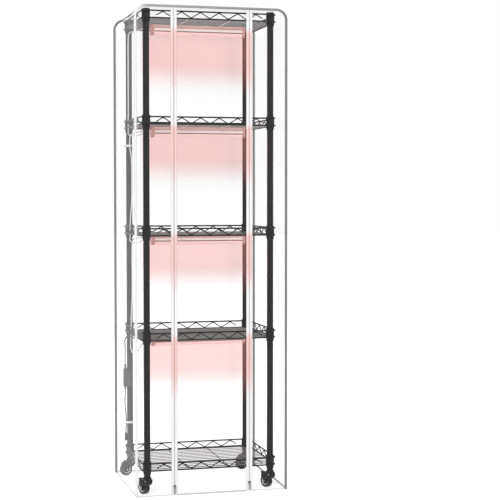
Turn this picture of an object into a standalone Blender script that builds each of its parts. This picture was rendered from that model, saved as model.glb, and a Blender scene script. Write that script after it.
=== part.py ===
"""Indoor greenhouse: a five-tier wire rack on casters with grow lights and a zip-up film cover.

Units are metres, +Z is up, +X is to the right seen from the door, and the door faces -Y.
The origin is on the floor, midway between the four posts.
"""

import math

import bmesh
import bpy
from mathutils import Matrix, Vector

FIT = 0.0003
CUT_MARGIN = 0.001
MERGE_DISTANCE = 0.000001
FLAT_ANGLE = 0.0005

# Posts
POST_SPACING_X = 0.497
POST_SPACING_Y = 0.385
POST_DIAMETER = 0.0254
POST_WALL = 0.0012
POST_BOTTOM = 0.070
POST_LENGTH = 1.8126
POST_INSERT_LENGTH = 0.030
CAP_RIM_RADIUS = 0.0150
CAP_CROWN_RADIUS = 0.0120
CAP_HEIGHT = 0.0022
CAP_PLUG_LENGTH = 0.012
ROUND_SIDES = 12
GROOVE_PITCH = 0.0254

# Shelves; the middle three are counted in post grooves from the shelf below, the last is at the posts' top
BOTTOM_SHELF_HEIGHT = 0.1225
SHELF_STEPS = (20, 16, 17)
COLLAR_RADIUS = 0.0165
COLLAR_RISE = 0.0075
COLLAR_SKIRT = 0.032
SLEEVE_RADIUS = 0.0142
SLEEVE_DROP = 0.045
RAIL_RADIUS = 0.0030
RAIL_PITCH = 0.0275
RAIL_WELD = 0.0010
TRUSS_RADIUS = 0.0018
TRUSS_PITCH = 0.0743
TRUSS_END_RATIO = 0.7
DECK_RADIUS = 0.0016
DECK_PITCH = 0.0300
BRACE_RADIUS = 0.0019
BRACE_POSITION = 0.0828
RAIL_CORNER_STEPS = 2

# Casters
WHEEL_RADIUS = 0.025
WHEEL_WIDTH = 0.022
WHEEL_SIDES = 12
WHEEL_BORE = 0.0033
RING_RADIUS = 0.0165
RING_DEPTH = 0.0025
HUB_RADIUS = 0.0100
HUB_SINK = 0.0010
TREAD_SHOULDER = 0.0035
CASTER_TRAIL = 0.020
HOOD_TOP = 0.060
HOOD_RADIUS = 0.0285
HOOD_EDGE = 0.034
HOOD_WALL = 0.0022
HOOD_BACK = -0.015
HOOD_HEEL = -0.006
HEEL_RISE = 0.002
BACK_EDGE = 0.046
HOOD_FLAT = 0.003
HOOD_ARC_START = 62.0
HOOD_ARC_END = 48.0
LEG_RADIUS = 0.0058
HOOD_SIDE_GAP = 0.0010
STEM_RADIUS = 0.0050
STEM_LENGTH = 0.024
HEAD_RADIUS = 0.0165
HEAD_TOP_RADIUS = 0.0124
HEAD_CHAMFER = 0.005
HEAD_SINK = 0.004
AXLE_INSET = 0.0005
WHEEL_SPACE_SIDES = 16
PIN_SIDES = 10
FRONT_CASTER_ANGLE = 119.5
REAR_CASTER_ANGLE = 196.0
PEDAL_PIVOT_U = 0.028
PEDAL_PIVOT_Z = 0.0545
PEDAL_PIN_RADIUS = 0.0025
PEDAL_REACH = 0.0495
PEDAL_NOSE_RADIUS = 0.0100
PEDAL_NOSE_STEPS = 8
PEDAL_THICKNESS = 0.0032
PEDAL_WEB_THICKNESS = 0.0028
PEDAL_WEB_WIDTH = 0.0070
LOBE_RADIUS = 0.0025
LOBE_WIDTH = 0.010
LOBE_INSET = 0.0045
LOBE_DROP = 0.0113
PEDAL_SEAT_LENGTH = 0.030
PEDAL_SEAT_HEIGHT = 0.010

# Grow lights, each hanging under the shelf above its tier
LAMP_LENGTH = 0.386
LAMP_WIDTH = 0.036
LAMP_HEIGHT = 0.043
LAMP_HOUSING_HEIGHT = 0.014
LAMP_CAP_LENGTH = 0.011
CAP_PROUD = 0.001
CAP_CHAMFER = 0.003
CAP_ROUNDING = 0.015
CHANNEL_CHAMFER = 0.004
LAMP_ROUND_STEPS = 3
DIFFUSER_WIDTH = 0.033
DIFFUSER_WALL = 0.0015
DIFFUSER_ROUNDING = 0.014
DIFFUSER_RISE = 0.001
BOARD_WIDTH = 0.014
BOARD_THICKNESS = 0.0016
CORD_EXIT_OFFSET = 0.0090
CORD_EXIT_DROP = 0.0194
CORD_SLACK = 0.0010
CORD_BEND_X = 0.026
CORD_BEND_Y = 0.030

# Wiring on the rear left post
CORD_DIAMETER = 0.0050
CORD_TURN = 24.0
CORD_STRETCH = 0.18
ROUTE_STEPS = 20
SQUARE_STEPS = 10
TIE_THICKNESS = 0.0014
TIE_WIDTH = 0.009
TIE_HEAD_WIDTH = 0.008
TIE_HEAD_DEPTH = 0.006
UPPER_TIE_DROP = 0.0993
CONTROLLER_WIDTH = 0.037
CONTROLLER_DEPTH = 0.019
CONTROLLER_HEIGHT = 0.076
CONTROLLER_OFFSET_X = -0.0125
CONTROLLER_DROP = 0.2195
CONTROLLER_ROUNDING = 0.003
RELIEF_OFFSET_X = -0.0235
RELIEF_RADIUS = 0.0045
TOP_RELIEF_LENGTH = 0.018
BOTTOM_RELIEF_LENGTH = 0.010
RELIEF_SINK = 0.002
BUTTON_RADIUS = 0.0055
BUTTON_SPACING = 0.018
BUTTON_RISE = 0.0016
BUTTON_LENGTH = 0.0044
WELL_DEPTH = 0.0060
SOCKET_RADIUS = 0.0055
SOCKET_LENGTH = 0.034
SOCKET_BORE = 0.0028
SOCKET_BORE_DEPTH = 0.010
SOCKET_NECK = 0.001
SOCKET_TAPER = 0.008
SOCKET_ANGLE = 150.0
SOCKET_DROP = 0.045
SOCKET_CLEARANCE = 0.013

# Film cover
COVER_GAP_X = 0.051
COVER_GAP_Y = 0.050
COVER_HEM_HEIGHT = 0.002
FILM_THICKNESS = 0.0005
PIPING_RADIUS = 0.0050
PIPING_RISE = 0.004
PIPING_CORNER = 0.040
SHOULDER_RADIUS = 0.036
SHOULDER_STEPS = 5
PIPING_STEPS = 6
ZIP_POSITION = 0.150
ZIP_TAPE_WIDTH = 0.0122
ZIP_TAPE_THICKNESS = 0.0012
DOOR_HEM_HEIGHT = 0.030
DOOR_HEM_THICKNESS = 0.0020
SLIDER_WIDTH = 0.010
SLIDER_HEIGHT = 0.013
SLIDER_THICKNESS = 0.0026
SLIDER_END_WIDTH = 0.0062
SLIDER_SHOULDER = 0.0026
LUG_WIDTH = 0.0030
LUG_HEIGHT = 0.0100
LUG_RISE = 0.0028
LUG_SINK = 0.0004
EYE_SIZE = 0.0022
EYE_RISE = 0.0013
SLIDER_HEIGHT_ABOVE_FLOOR = 0.036
PULL_WIDTH = 0.009
PULL_LENGTH = 0.029
PULL_THICKNESS = 0.0014
PULL_RIM = 0.0022
PULL_BAR = 0.0012
PULL_WINDOW = 0.0060
PULL_END_STEPS = 6

# Places worked out from the sizes above
POST_RADIUS = POST_DIAMETER / 2
SQUARE = math.sqrt(math.pi / 2)
RAIL_HALF = RAIL_RADIUS * SQUARE * math.cos(math.pi / 4)
TRUSS_HALF = TRUSS_RADIUS * SQUARE * math.cos(math.pi / 4)
DECK_HALF = DECK_RADIUS * SQUARE * math.cos(math.pi / 4)
BRACE_HALF = BRACE_RADIUS * SQUARE * math.cos(math.pi / 4)
DECK_LEVEL = -RAIL_PITCH + RAIL_HALF - DECK_HALF - FIT
BRACE_TOP = DECK_LEVEL - DECK_HALF - FIT
HALF_X = POST_SPACING_X / 2
HALF_Y = POST_SPACING_Y / 2
RAIL_OFFSET = COLLAR_RADIUS + RAIL_RADIUS - RAIL_WELD
POST_TOP = POST_BOTTOM + POST_LENGTH
LEVELS = [BOTTOM_SHELF_HEIGHT]
for steps in SHELF_STEPS:
    LEVELS.append(LEVELS[-1] + steps * GROOVE_PITCH)
LEVELS.append(POST_TOP - COLLAR_RISE)
UPPER_TIE_HEIGHT = LEVELS[3] - UPPER_TIE_DROP
CONTROLLER_CENTRE_Z = LEVELS[1] - CONTROLLER_DROP
SOCKET_TOP = LEVELS[0] + COLLAR_RISE + SOCKET_CLEARANCE + SOCKET_LENGTH
LOWER_TIE_HEIGHT = SOCKET_TOP + SOCKET_DROP
COVER_TOP = POST_TOP + FIT + CAP_HEIGHT + FIT + FILM_THICKNESS / 2
PIPING_TOP = COVER_TOP + PIPING_RISE
COVER_X = HALF_X + COVER_GAP_X
COVER_Y = HALF_Y + COVER_GAP_Y
PIPING_CLEARANCE = PIPING_RADIUS + FIT
BORE_RADIUS = POST_RADIUS + 2 * FIT
CONTROLLER_CENTRE_X = -HALF_X + CONTROLLER_OFFSET_X
RELIEF_X = -HALF_X + RELIEF_OFFSET_X
WHEEL_HALF = WHEEL_WIDTH / 2
HOOD_INNER_HALF = WHEEL_HALF + HOOD_SIDE_GAP
HOOD_HALF = HOOD_INNER_HALF + HOOD_WALL
PEDAL_UNDERSIDE = PEDAL_PIVOT_Z + PEDAL_PIN_RADIUS / 2
DIFFUSER_BOTTOM = -LAMP_HEIGHT + DIFFUSER_RISE

CORNERS = {
    "front_left": (-1, -1),
    "front_right": (1, -1),
    "rear_left": (-1, 1),
    "rear_right": (1, 1),
}

for leftover in list(bpy.data.objects):
    bpy.data.objects.remove(leftover, do_unlink=True)

parts = bpy.data.collections.new("indoor_greenhouse")
bpy.context.scene.collection.children.link(parts)


def srgb(hex_colour):
    """Turn a hex colour into linear red, green, blue and alpha."""
    values = []
    for start in (0, 2, 4):
        level = int(hex_colour[start:start + 2], 16) / 255
        values.append(level / 12.92 if level <= 0.04045 else ((level + 0.055) / 1.055) ** 2.4)
    return (*values, 1.0)


def material(name, hex_colour, roughness, metallic=0.0, alpha=1.0):
    """Make one Principled material."""
    made = bpy.data.materials.new(name)
    made.use_nodes = True
    shader = made.node_tree.nodes["Principled BSDF"]
    shader.inputs["Base Color"].default_value = srgb(hex_colour)
    shader.inputs["Roughness"].default_value = roughness
    shader.inputs["Metallic"].default_value = metallic
    shader.inputs["Alpha"].default_value = alpha
    made.diffuse_color = srgb(hex_colour)
    return made


coated_steel = material("powder_coated_steel", "2B2B2C", 0.45, 0.2)
black_plastic = material("black_plastic", "1D1D1E", 0.5)
wheel_plastic = material("wheel_plastic", "232324", 0.6)
lamp_plastic = material("lamp_housing_plastic", "D9C4BC", 0.4)
diffuser_plastic = material("frosted_diffuser", "F6DEDA", 0.35)
white_cord = material("white_cord_jacket", "DAD6D4", 0.5)
dark_cord = material("dark_cord_jacket", "3A3A3B", 0.5)
clear_film = material("clear_film", "F4F5F6", 0.15, 0.0, 0.25)
grey_piping = material("grey_piping", "B4B5B8", 0.4)
white_tape = material("white_zip_tape", "ECECEE", 0.7)
zip_metal = material("zip_metal", "6E6F70", 0.35, 0.9)


def add(name, data, finish):
    """Put mesh or curve data in the scene as a named part."""
    made = bpy.data.objects.new(name, data)
    data.materials.clear()
    data.materials.append(finish)
    parts.objects.link(made)
    return made


def hold(obj):
    """Take a part's evaluated shape as a plain mesh in its own axes and drop the object."""
    bpy.context.view_layer.update()
    graph = bpy.context.evaluated_depsgraph_get()
    mesh = bpy.data.meshes.new_from_object(obj.evaluated_get(graph))
    mesh.transform(obj.matrix_world)
    bpy.data.objects.remove(obj, do_unlink=True)
    shape = bmesh.new()
    shape.from_mesh(mesh)
    bmesh.ops.remove_doubles(shape, verts=shape.verts, dist=MERGE_DISTANCE)
    bmesh.ops.dissolve_limit(shape, angle_limit=FLAT_ANGLE, verts=shape.verts, edges=shape.edges)
    shape.to_mesh(mesh)
    shape.free()
    return mesh


def smooth(mesh, angle=35):
    """Shade round faces smooth and keep real edges sharp."""
    mesh.shade_smooth()
    mesh.set_sharp_from_angle(angle=math.radians(angle))
    return mesh


def merged(meshes):
    """Put separate closed shapes into one mesh."""
    shape = bmesh.new()
    for mesh in meshes:
        shape.from_mesh(mesh)
        bpy.data.meshes.remove(mesh)
    result = bpy.data.meshes.new("merged")
    shape.to_mesh(result)
    shape.free()
    return result


def combine(base, tool, operation):
    """Join a tool mesh to a base mesh, or cut it out, with an exact Boolean."""
    target = bpy.data.objects.new("target", base)
    other = bpy.data.objects.new("tool", tool)
    parts.objects.link(target)
    parts.objects.link(other)
    boolean = target.modifiers.new("join", "BOOLEAN")
    boolean.operation = operation
    boolean.solver = "EXACT"
    boolean.object = other
    result = hold(target)
    bpy.data.objects.remove(other, do_unlink=True)
    return result


def box(size, centre):
    """A box mesh from its size and centre."""
    shape = bmesh.new()
    bmesh.ops.create_cube(shape, size=1.0)
    matrix = Matrix.Translation(centre) @ Matrix.Diagonal((*size, 1.0))
    bmesh.ops.transform(shape, matrix=matrix, verts=shape.verts)
    mesh = bpy.data.meshes.new("box")
    shape.to_mesh(mesh)
    shape.free()
    return mesh


def cylinder(radius, length, centre, turn=None, sides=ROUND_SIDES):
    """A cylinder mesh along Z, or along the axis that a rotation matrix turns Z to."""
    shape = bmesh.new()
    bmesh.ops.create_cone(shape, cap_ends=True, segments=sides, radius1=radius, radius2=radius, depth=length)
    matrix = Matrix.Translation(centre) @ (turn or Matrix.Identity(4))
    bmesh.ops.transform(shape, matrix=matrix, verts=shape.verts)
    mesh = bpy.data.meshes.new("cylinder")
    shape.to_mesh(mesh)
    shape.free()
    return mesh


def turned(profile, sides=ROUND_SIDES, closed=False):
    """A turned mesh round Z from (radius, height) points that run down the outer side."""
    shape = bmesh.new()
    verts = [shape.verts.new((radius, 0.0, height)) for radius, height in profile]
    for first, second in zip(verts, verts[1:]):
        shape.edges.new((first, second))
    if closed:
        shape.edges.new((verts[-1], verts[0]))
    mesh = bpy.data.meshes.new("profile")
    shape.to_mesh(mesh)
    shape.free()
    obj = bpy.data.objects.new("profile", mesh)
    parts.objects.link(obj)
    screw = obj.modifiers.new("turn", "SCREW")
    screw.steps = sides
    screw.render_steps = sides
    screw.use_merge_vertices = True
    screw.merge_threshold = 0.00001
    screw.use_normal_calculate = False
    return hold(obj)


def tube(points, radius, resolution=1, loop=False, tilt=0.0):
    """A tube mesh along straight runs between points; resolution 0, 1, 2 gives 4, 6, 8 sides."""
    curve = bpy.data.curves.new("tube", "CURVE")
    curve.dimensions = "3D"
    curve.bevel_depth = radius
    curve.bevel_resolution = resolution
    curve.use_fill_caps = True
    spline = curve.splines.new("POLY")
    spline.points.add(len(points) - 1)
    for place, point in zip(spline.points, points):
        place.co = (*point, 1.0)
        place.tilt = tilt
    spline.use_cyclic_u = loop
    obj = bpy.data.objects.new("tube", curve)
    parts.objects.link(obj)
    return hold(obj)


def plate(outline, thickness, axes="XY", shift=0.0):
    """A flat outline given thickness: its points lie in the named plane, shifted along the third axis."""
    curve = bpy.data.curves.new("outline", "CURVE")
    curve.dimensions = "2D"
    curve.fill_mode = "BOTH"
    curve.extrude = thickness / 2
    spline = curve.splines.new("POLY")
    spline.points.add(len(outline) - 1)
    for place, (first, second) in zip(spline.points, outline):
        place.co = (first, second, 0.0, 1.0)
    spline.use_cyclic_u = True
    obj = bpy.data.objects.new("outline", curve)
    parts.objects.link(obj)
    quarter = math.pi / 2
    if axes == "YZ":
        obj.rotation_euler = (quarter, 0.0, quarter)
        obj.location.x = shift
    elif axes == "XZ":
        obj.rotation_euler = (quarter, 0.0, 0.0)
        obj.location.y = shift
    else:
        obj.location.z = shift
    return hold(obj)


def arc(centre, radius, start, end, count):
    """Points on an arc between two angles in degrees, both ends included."""
    points = []
    for step in range(count + 1):
        angle = math.radians(start + (end - start) * step / count)
        points.append((centre[0] + radius * math.cos(angle), centre[1] + radius * math.sin(angle)))
    return points


def smooth_route(points, turn, longest):
    """Points on a smooth curve through a route's own points, closer together where it bends."""
    route = [Vector(point) for point in points]
    first = route[0] * 2 - route[1]
    last = route[-1] * 2 - route[-2]
    padded = [first, *route, last]
    dense = []
    for index in range(1, len(padded) - 2):
        before, here, there, after = padded[index - 1:index + 3]
        for step in range(ROUTE_STEPS):
            t = step / ROUTE_STEPS
            dense.append(0.5 * (
                2 * here
                + (there - before) * t
                + (2 * before - 5 * here + 4 * there - after) * t ** 2
                + (3 * here - before - 3 * there + after) * t ** 3
            ))
    dense.append(route[-1])
    result = [dense[0], dense[SQUARE_STEPS]]
    turned_by = 0.0
    walked = 0.0
    middle = dense[SQUARE_STEPS:-SQUARE_STEPS]
    for before, here, after in zip(middle, middle[1:], middle[2:]):
        walked += (here - before).length
        turned_by += (here - before).angle(after - here, 0.0)
        if turned_by >= math.radians(turn) or walked >= longest:
            result.append(here)
            turned_by = 0.0
            walked = 0.0
    if (middle[-1] - result[-1]).length < CORD_DIAMETER:
        result.pop()
    return result + [dense[-1 - SQUARE_STEPS], dense[-1]]


def corner_place(corner):
    """Where a named corner's post stands."""
    side_x, side_y = CORNERS[corner]
    return side_x * HALF_X, side_y * HALF_Y


def make_posts():
    """Four tubes with an insert for the caster stem, and their plastic caps."""
    inner = POST_RADIUS - POST_WALL
    insert_top = POST_BOTTOM + POST_INSERT_LENGTH
    stem_hole = STEM_RADIUS + FIT
    tube_profile = [
        (POST_RADIUS, POST_TOP),
        (POST_RADIUS, POST_BOTTOM),
        (stem_hole, POST_BOTTOM),
        (stem_hole, insert_top),
        (inner, insert_top),
        (inner, POST_TOP),
    ]
    post_mesh = smooth(turned(tube_profile, closed=True))
    seat = POST_TOP + FIT
    cap_profile = [
        (0.0, seat + CAP_HEIGHT),
        (CAP_CROWN_RADIUS, seat + CAP_HEIGHT),
        (CAP_RIM_RADIUS, seat),
        (inner - FIT, seat),
        (inner - FIT, seat - CAP_PLUG_LENGTH),
        (0.0, seat - CAP_PLUG_LENGTH),
    ]
    cap_mesh = smooth(turned(cap_profile))
    for corner in CORNERS:
        x, y = corner_place(corner)
        post = add("post_" + corner, post_mesh, coated_steel)
        post.location = (x, y, 0.0)
        cap = add("post_cap_" + corner, cap_mesh, black_plastic)
        cap.location = (x, y, 0.0)


def truss_mesh(half_span, fixed, along_x):
    """One zigzag truss wire between the two rails, symmetrical about its middle."""
    peaks = math.floor((half_span - COLLAR_RADIUS) / TRUSS_PITCH + 0.5)
    first = -(peaks - 0.5) * TRUSS_PITCH
    high = -RAIL_HALF
    low = -RAIL_PITCH - high
    stub = TRUSS_PITCH / 2 * TRUSS_END_RATIO
    stub_height = high + (low - high) * TRUSS_END_RATIO
    places = [(first - stub, stub_height)]
    for index in range(2 * peaks):
        places.append((first + index * TRUSS_PITCH, high))
        if index < 2 * peaks - 1:
            places.append((first + (index + 0.5) * TRUSS_PITCH, low))
    places.append((-first + stub, stub_height))
    rise = math.hypot(TRUSS_PITCH / 2, low - high)
    half_across = TRUSS_HALF * rise / (TRUSS_PITCH / 2)
    lower = [(place, height - half_across) for place, height in places]
    upper = [(place, height + half_across) for place, height in reversed(places)]
    return plate(lower + upper, 2 * TRUSS_HALF, "XZ" if along_x else "YZ", fixed)


def make_shelves():
    """Five welded wire shelves that share one mesh."""
    rail_x = HALF_X + RAIL_OFFSET
    rail_y = HALF_Y + RAIL_OFFSET
    corners = ((HALF_X, HALF_Y, 0), (-HALF_X, HALF_Y, 90), (-HALF_X, -HALF_Y, 180), (HALF_X, -HALF_Y, 270))
    loop = []
    for x, y, start in corners:
        loop += arc((x, y), RAIL_OFFSET, start, start + 90, RAIL_CORNER_STEPS)
    rails = []
    for height in (0.0, -RAIL_PITCH):
        rails.append(tube([(x, y, height) for x, y in loop], RAIL_RADIUS * SQUARE, 0, loop=True, tilt=math.pi / 4))
    trusses = [truss_mesh(HALF_X, side * rail_y, True) for side in (-1, 1)]
    trusses += [truss_mesh(HALF_Y, side * rail_x, False) for side in (-1, 1)]
    deck_gaps = round(2 * rail_y / DECK_PITCH)
    brace_height = BRACE_TOP - BRACE_HALF
    deck = []
    for index in range(1, deck_gaps):
        y = -rail_y + 2 * rail_y * index / deck_gaps
        ends = [(-rail_x, y, DECK_LEVEL), (rail_x, y, DECK_LEVEL)]
        deck.append(tube(ends, DECK_RADIUS * SQUARE, 0, tilt=math.pi / 4))
    braces = []
    for side in (-1, 1):
        x = side * BRACE_POSITION
        ends = [(x, -rail_y, brace_height), (x, rail_y, brace_height)]
        braces.append(tube(ends, BRACE_RADIUS * SQUARE, 0, tilt=math.pi / 4))
    collar_profile = [
        (0.0, COLLAR_RISE),
        (COLLAR_RADIUS, COLLAR_RISE),
        (COLLAR_RADIUS, -COLLAR_SKIRT),
        (SLEEVE_RADIUS, -SLEEVE_DROP),
        (0.0, -SLEEVE_DROP),
    ]
    reach = COLLAR_RISE + SLEEVE_DROP
    collars = []
    bores = []
    for corner in CORNERS:
        x, y = corner_place(corner)
        collar = turned(collar_profile)
        collar.transform(Matrix.Translation((x, y, 0.0)))
        collars.append(collar)
        bore = turned([(0.0, reach), (BORE_RADIUS, reach), (BORE_RADIUS, -reach), (0.0, -reach)])
        bore.transform(Matrix.Translation((x, y, 0.0)))
        bores.append(bore)
    frame = combine(merged(collars), merged(rails), "UNION")
    frame = combine(frame, merged(trusses), "UNION")
    frame = combine(frame, merged(braces), "UNION")
    frame = combine(frame, merged(deck), "UNION")
    frame = smooth(combine(frame, merged(bores), "DIFFERENCE"))
    for number, level in enumerate(LEVELS, start=1):
        shelf = add("shelf_%d" % number, frame, coated_steel)
        shelf.location = (0.0, 0.0, level)


def wheel_mesh():
    """A wheel about the Y axis with a recessed ring in each face, centred on its axle."""
    face = WHEEL_HALF - HUB_SINK
    half = [
        (WHEEL_BORE, face),
        (HUB_RADIUS, face - RING_DEPTH),
        (RING_RADIUS, WHEEL_HALF),
        (WHEEL_RADIUS - TREAD_SHOULDER, WHEEL_HALF),
        (WHEEL_RADIUS, WHEEL_HALF - TREAD_SHOULDER),
    ]
    profile = half + [(radius, -height) for radius, height in reversed(half)]
    mesh = turned(profile, WHEEL_SIDES, closed=True)
    mesh.transform(Matrix.Rotation(math.pi / 2, 4, "X"))
    return smooth(mesh)


def fork_mesh(with_pedal):
    """Stem, swivel head, hood, legs and axle, with +X as the trailing direction."""
    axle = (CASTER_TRAIL, WHEEL_RADIUS)
    outline = [(HOOD_BACK, HOOD_TOP), (CASTER_TRAIL + HOOD_FLAT, HOOD_TOP)]
    outline += arc(axle, HOOD_RADIUS, HOOD_ARC_START, HOOD_ARC_END, 2)
    outline += [(CASTER_TRAIL + LEG_RADIUS, HOOD_EDGE)]
    outline += arc(axle, LEG_RADIUS, 0, -180, 4)
    outline += [(CASTER_TRAIL - LEG_RADIUS, HOOD_EDGE), (HOOD_HEEL, HOOD_EDGE + HEEL_RISE), (HOOD_BACK, BACK_EDGE)]
    hood = plate(list(reversed(outline)), 2 * HOOD_HALF, "XZ")
    sideways = Matrix.Rotation(math.pi / 2, 4, "X")
    wheel_space = cylinder(
        HOOD_RADIUS - HOOD_WALL, 2 * HOOD_INNER_HALF, (CASTER_TRAIL, 0.0, WHEEL_RADIUS), sideways,
        WHEEL_SPACE_SIDES,
    )
    hood = combine(hood, wheel_space, "DIFFERENCE")
    axle_length = 2 * (HOOD_HALF - AXLE_INSET)
    axle_pin = cylinder(WHEEL_BORE - FIT, axle_length, (CASTER_TRAIL, 0.0, WHEEL_RADIUS), sideways, PIN_SIDES)
    hood = combine(hood, axle_pin, "UNION")
    head_top = POST_BOTTOM - FIT
    head = turned([
        (0.0, head_top + STEM_LENGTH),
        (STEM_RADIUS, head_top + STEM_LENGTH),
        (STEM_RADIUS, head_top),
        (HEAD_TOP_RADIUS, head_top),
        (HEAD_RADIUS, head_top - HEAD_CHAMFER),
        (HEAD_RADIUS, HOOD_TOP - HEAD_SINK),
        (0.0, HOOD_TOP - HEAD_SINK),
    ])
    fork = combine(hood, head, "UNION")
    if with_pedal:
        across = 2 * (HOOD_HALF + CUT_MARGIN)
        groove = cylinder(
            PEDAL_PIN_RADIUS + FIT, across, (PEDAL_PIVOT_U, 0.0, PEDAL_PIVOT_Z), sideways, PIN_SIDES
        )
        fork = combine(fork, groove, "DIFFERENCE")
        seat_start = PEDAL_PIVOT_U - PEDAL_PIN_RADIUS - 2 * FIT
        seat_floor = PEDAL_UNDERSIDE - FIT
        seat = box(
            (PEDAL_SEAT_LENGTH, across, PEDAL_SEAT_HEIGHT),
            (seat_start + PEDAL_SEAT_LENGTH / 2, 0.0, seat_floor + PEDAL_SEAT_HEIGHT / 2),
        )
        fork = combine(fork, seat, "DIFFERENCE")
    return smooth(fork)


def pedal_mesh():
    """Brake lever: a pin lying in the hood's groove, a round-nosed tread and a brake lobe."""
    sideways = Matrix.Rotation(math.pi / 2, 4, "X")
    nose = PEDAL_REACH - PEDAL_NOSE_RADIUS
    start = PEDAL_PIVOT_U - PEDAL_PIN_RADIUS
    outline = [(start, PEDAL_NOSE_RADIUS), (start, -PEDAL_NOSE_RADIUS)]
    outline += arc((nose, 0.0), PEDAL_NOSE_RADIUS, -90, 90, PEDAL_NOSE_STEPS)
    tread = plate(outline, PEDAL_THICKNESS, "XY", PEDAL_UNDERSIDE + PEDAL_THICKNESS / 2)
    pin = cylinder(PEDAL_PIN_RADIUS, 2 * HOOD_HALF, (PEDAL_PIVOT_U, 0.0, PEDAL_PIVOT_Z), sideways, PIN_SIDES)
    lever = combine(tread, pin, "UNION")
    lobe_x = PEDAL_REACH - LOBE_INSET
    web_height = LOBE_DROP + PEDAL_THICKNESS / 2
    web_middle = PEDAL_UNDERSIDE + PEDAL_THICKNESS / 2 - web_height / 2
    web = box((PEDAL_WEB_THICKNESS, PEDAL_WEB_WIDTH, web_height), (lobe_x, 0.0, web_middle))
    lever = combine(lever, web, "UNION")
    lobe = cylinder(LOBE_RADIUS, LOBE_WIDTH, (lobe_x, 0.0, PEDAL_UNDERSIDE - LOBE_DROP), sideways, PIN_SIDES)
    return smooth(combine(lever, lobe, "UNION"))


def make_casters():
    """Four swivel casters; the two at the door side have a brake."""
    wheel = wheel_mesh()
    pedal = pedal_mesh()
    forks = {"front": fork_mesh(True), "rear": fork_mesh(False)}
    for corner in CORNERS:
        x, y = corner_place(corner)
        row = corner.split("_")[0]
        angle = FRONT_CASTER_ANGLE if row == "front" else REAR_CASTER_ANGLE
        swivel = bpy.data.objects.new("swivel_" + corner, None)
        parts.objects.link(swivel)
        swivel.location = (x, y, 0.0)
        swivel.rotation_euler.z = math.radians(angle)
        fork = add("caster_fork_" + corner, forks[row], black_plastic)
        fork.parent = swivel
        tyre = add("caster_wheel_" + corner, wheel, wheel_plastic)
        tyre.parent = swivel
        tyre.location = (CASTER_TRAIL, 0.0, WHEEL_RADIUS)
        if row == "front":
            lever = add("brake_pedal_" + corner, pedal, black_plastic)
            lever.parent = swivel


def lamp_housing_mesh():
    """Channel, board and end caps; the caps' top is at height 0, and a groove snaps on each brace."""
    half = LAMP_WIDTH / 2
    top = -CAP_PROUD
    shoulder = top - CHANNEL_CHAMFER
    narrow = half - CHANNEL_CHAMFER
    lip = -LAMP_HOUSING_HEIGHT
    board = BOARD_WIDTH / 2
    board_face = lip - BOARD_THICKNESS
    channel_outline = [
        (-narrow, top), (-half, shoulder), (-half, lip), (-board, lip), (-board, board_face),
        (board, board_face), (board, lip), (half, lip), (half, shoulder), (narrow, top),
    ]
    between_caps = LAMP_LENGTH - 2 * LAMP_CAP_LENGTH
    housing = plate(channel_outline, between_caps + 2 * CUT_MARGIN, "YZ")
    cap_half = half + CAP_PROUD
    round_y = cap_half - CAP_ROUNDING
    round_z = -LAMP_HEIGHT + CAP_ROUNDING
    cap_outline = [(-cap_half, -CAP_CHAMFER), (-cap_half, round_z)]
    cap_outline += arc((-round_y, round_z), CAP_ROUNDING, 180, 270, LAMP_ROUND_STEPS)[1:]
    cap_outline += arc((round_y, round_z), CAP_ROUNDING, 270, 360, LAMP_ROUND_STEPS)
    cap_outline += [(cap_half, -CAP_CHAMFER), (cap_half - CAP_CHAMFER, 0.0), (-cap_half + CAP_CHAMFER, 0.0)]
    cap_middle = (LAMP_LENGTH - LAMP_CAP_LENGTH) / 2
    caps = [plate(cap_outline, LAMP_CAP_LENGTH, "YZ", side * cap_middle) for side in (-1, 1)]
    housing = combine(housing, merged(caps), "UNION")
    groove_size = (2 * (BRACE_HALF + FIT), 2 * LAMP_WIDTH, 2 * (2 * BRACE_HALF + FIT))
    grooves = [box(groove_size, (side * BRACE_POSITION, 0.0, 0.0)) for side in (-1, 1)]
    return smooth(combine(housing, merged(grooves), "DIFFERENCE"))


def diffuser_mesh():
    """Frosted trough between the end caps, open upwards against the housing."""
    half = DIFFUSER_WIDTH / 2
    rim = -LAMP_HOUSING_HEIGHT - FIT
    round_y = half - DIFFUSER_ROUNDING
    round_z = DIFFUSER_BOTTOM + DIFFUSER_ROUNDING
    inner_round = DIFFUSER_ROUNDING - DIFFUSER_WALL
    outline = [(-half, rim), (-half, round_z)]
    outline += arc((-round_y, round_z), DIFFUSER_ROUNDING, 180, 270, LAMP_ROUND_STEPS)[1:]
    outline += arc((round_y, round_z), DIFFUSER_ROUNDING, 270, 360, LAMP_ROUND_STEPS)
    outline += [(half, rim), (half - DIFFUSER_WALL, rim)]
    outline += arc((round_y, round_z), inner_round, 360, 270, LAMP_ROUND_STEPS)
    outline += arc((-round_y, round_z), inner_round, 270, 180, LAMP_ROUND_STEPS)
    outline += [(-half + DIFFUSER_WALL, rim)]
    length = LAMP_LENGTH - 2 * LAMP_CAP_LENGTH - 2 * FIT
    return smooth(plate(outline, length, "YZ"))


def make_lamps():
    """A light bar under each of the four upper shelves, numbered from the lowest tier."""
    housing_mesh = lamp_housing_mesh()
    trough_mesh = diffuser_mesh()
    for tier, level in enumerate(LEVELS[1:], start=1):
        height = level + BRACE_TOP
        housing = add("lamp_housing_%d" % tier, housing_mesh, lamp_plastic)
        housing.location = (0.0, 0.0, height)
        trough = add("lamp_diffuser_%d" % tier, trough_mesh, diffuser_plastic)
        trough.location = (0.0, 0.0, height)


def at_post(angle, radius, height):
    """A point round the rear left post, by its compass angle in degrees and its distance."""
    x, y = corner_place("rear_left")
    return (x + radius * math.cos(math.radians(angle)), y + radius * math.sin(math.radians(angle)), height)


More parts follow.
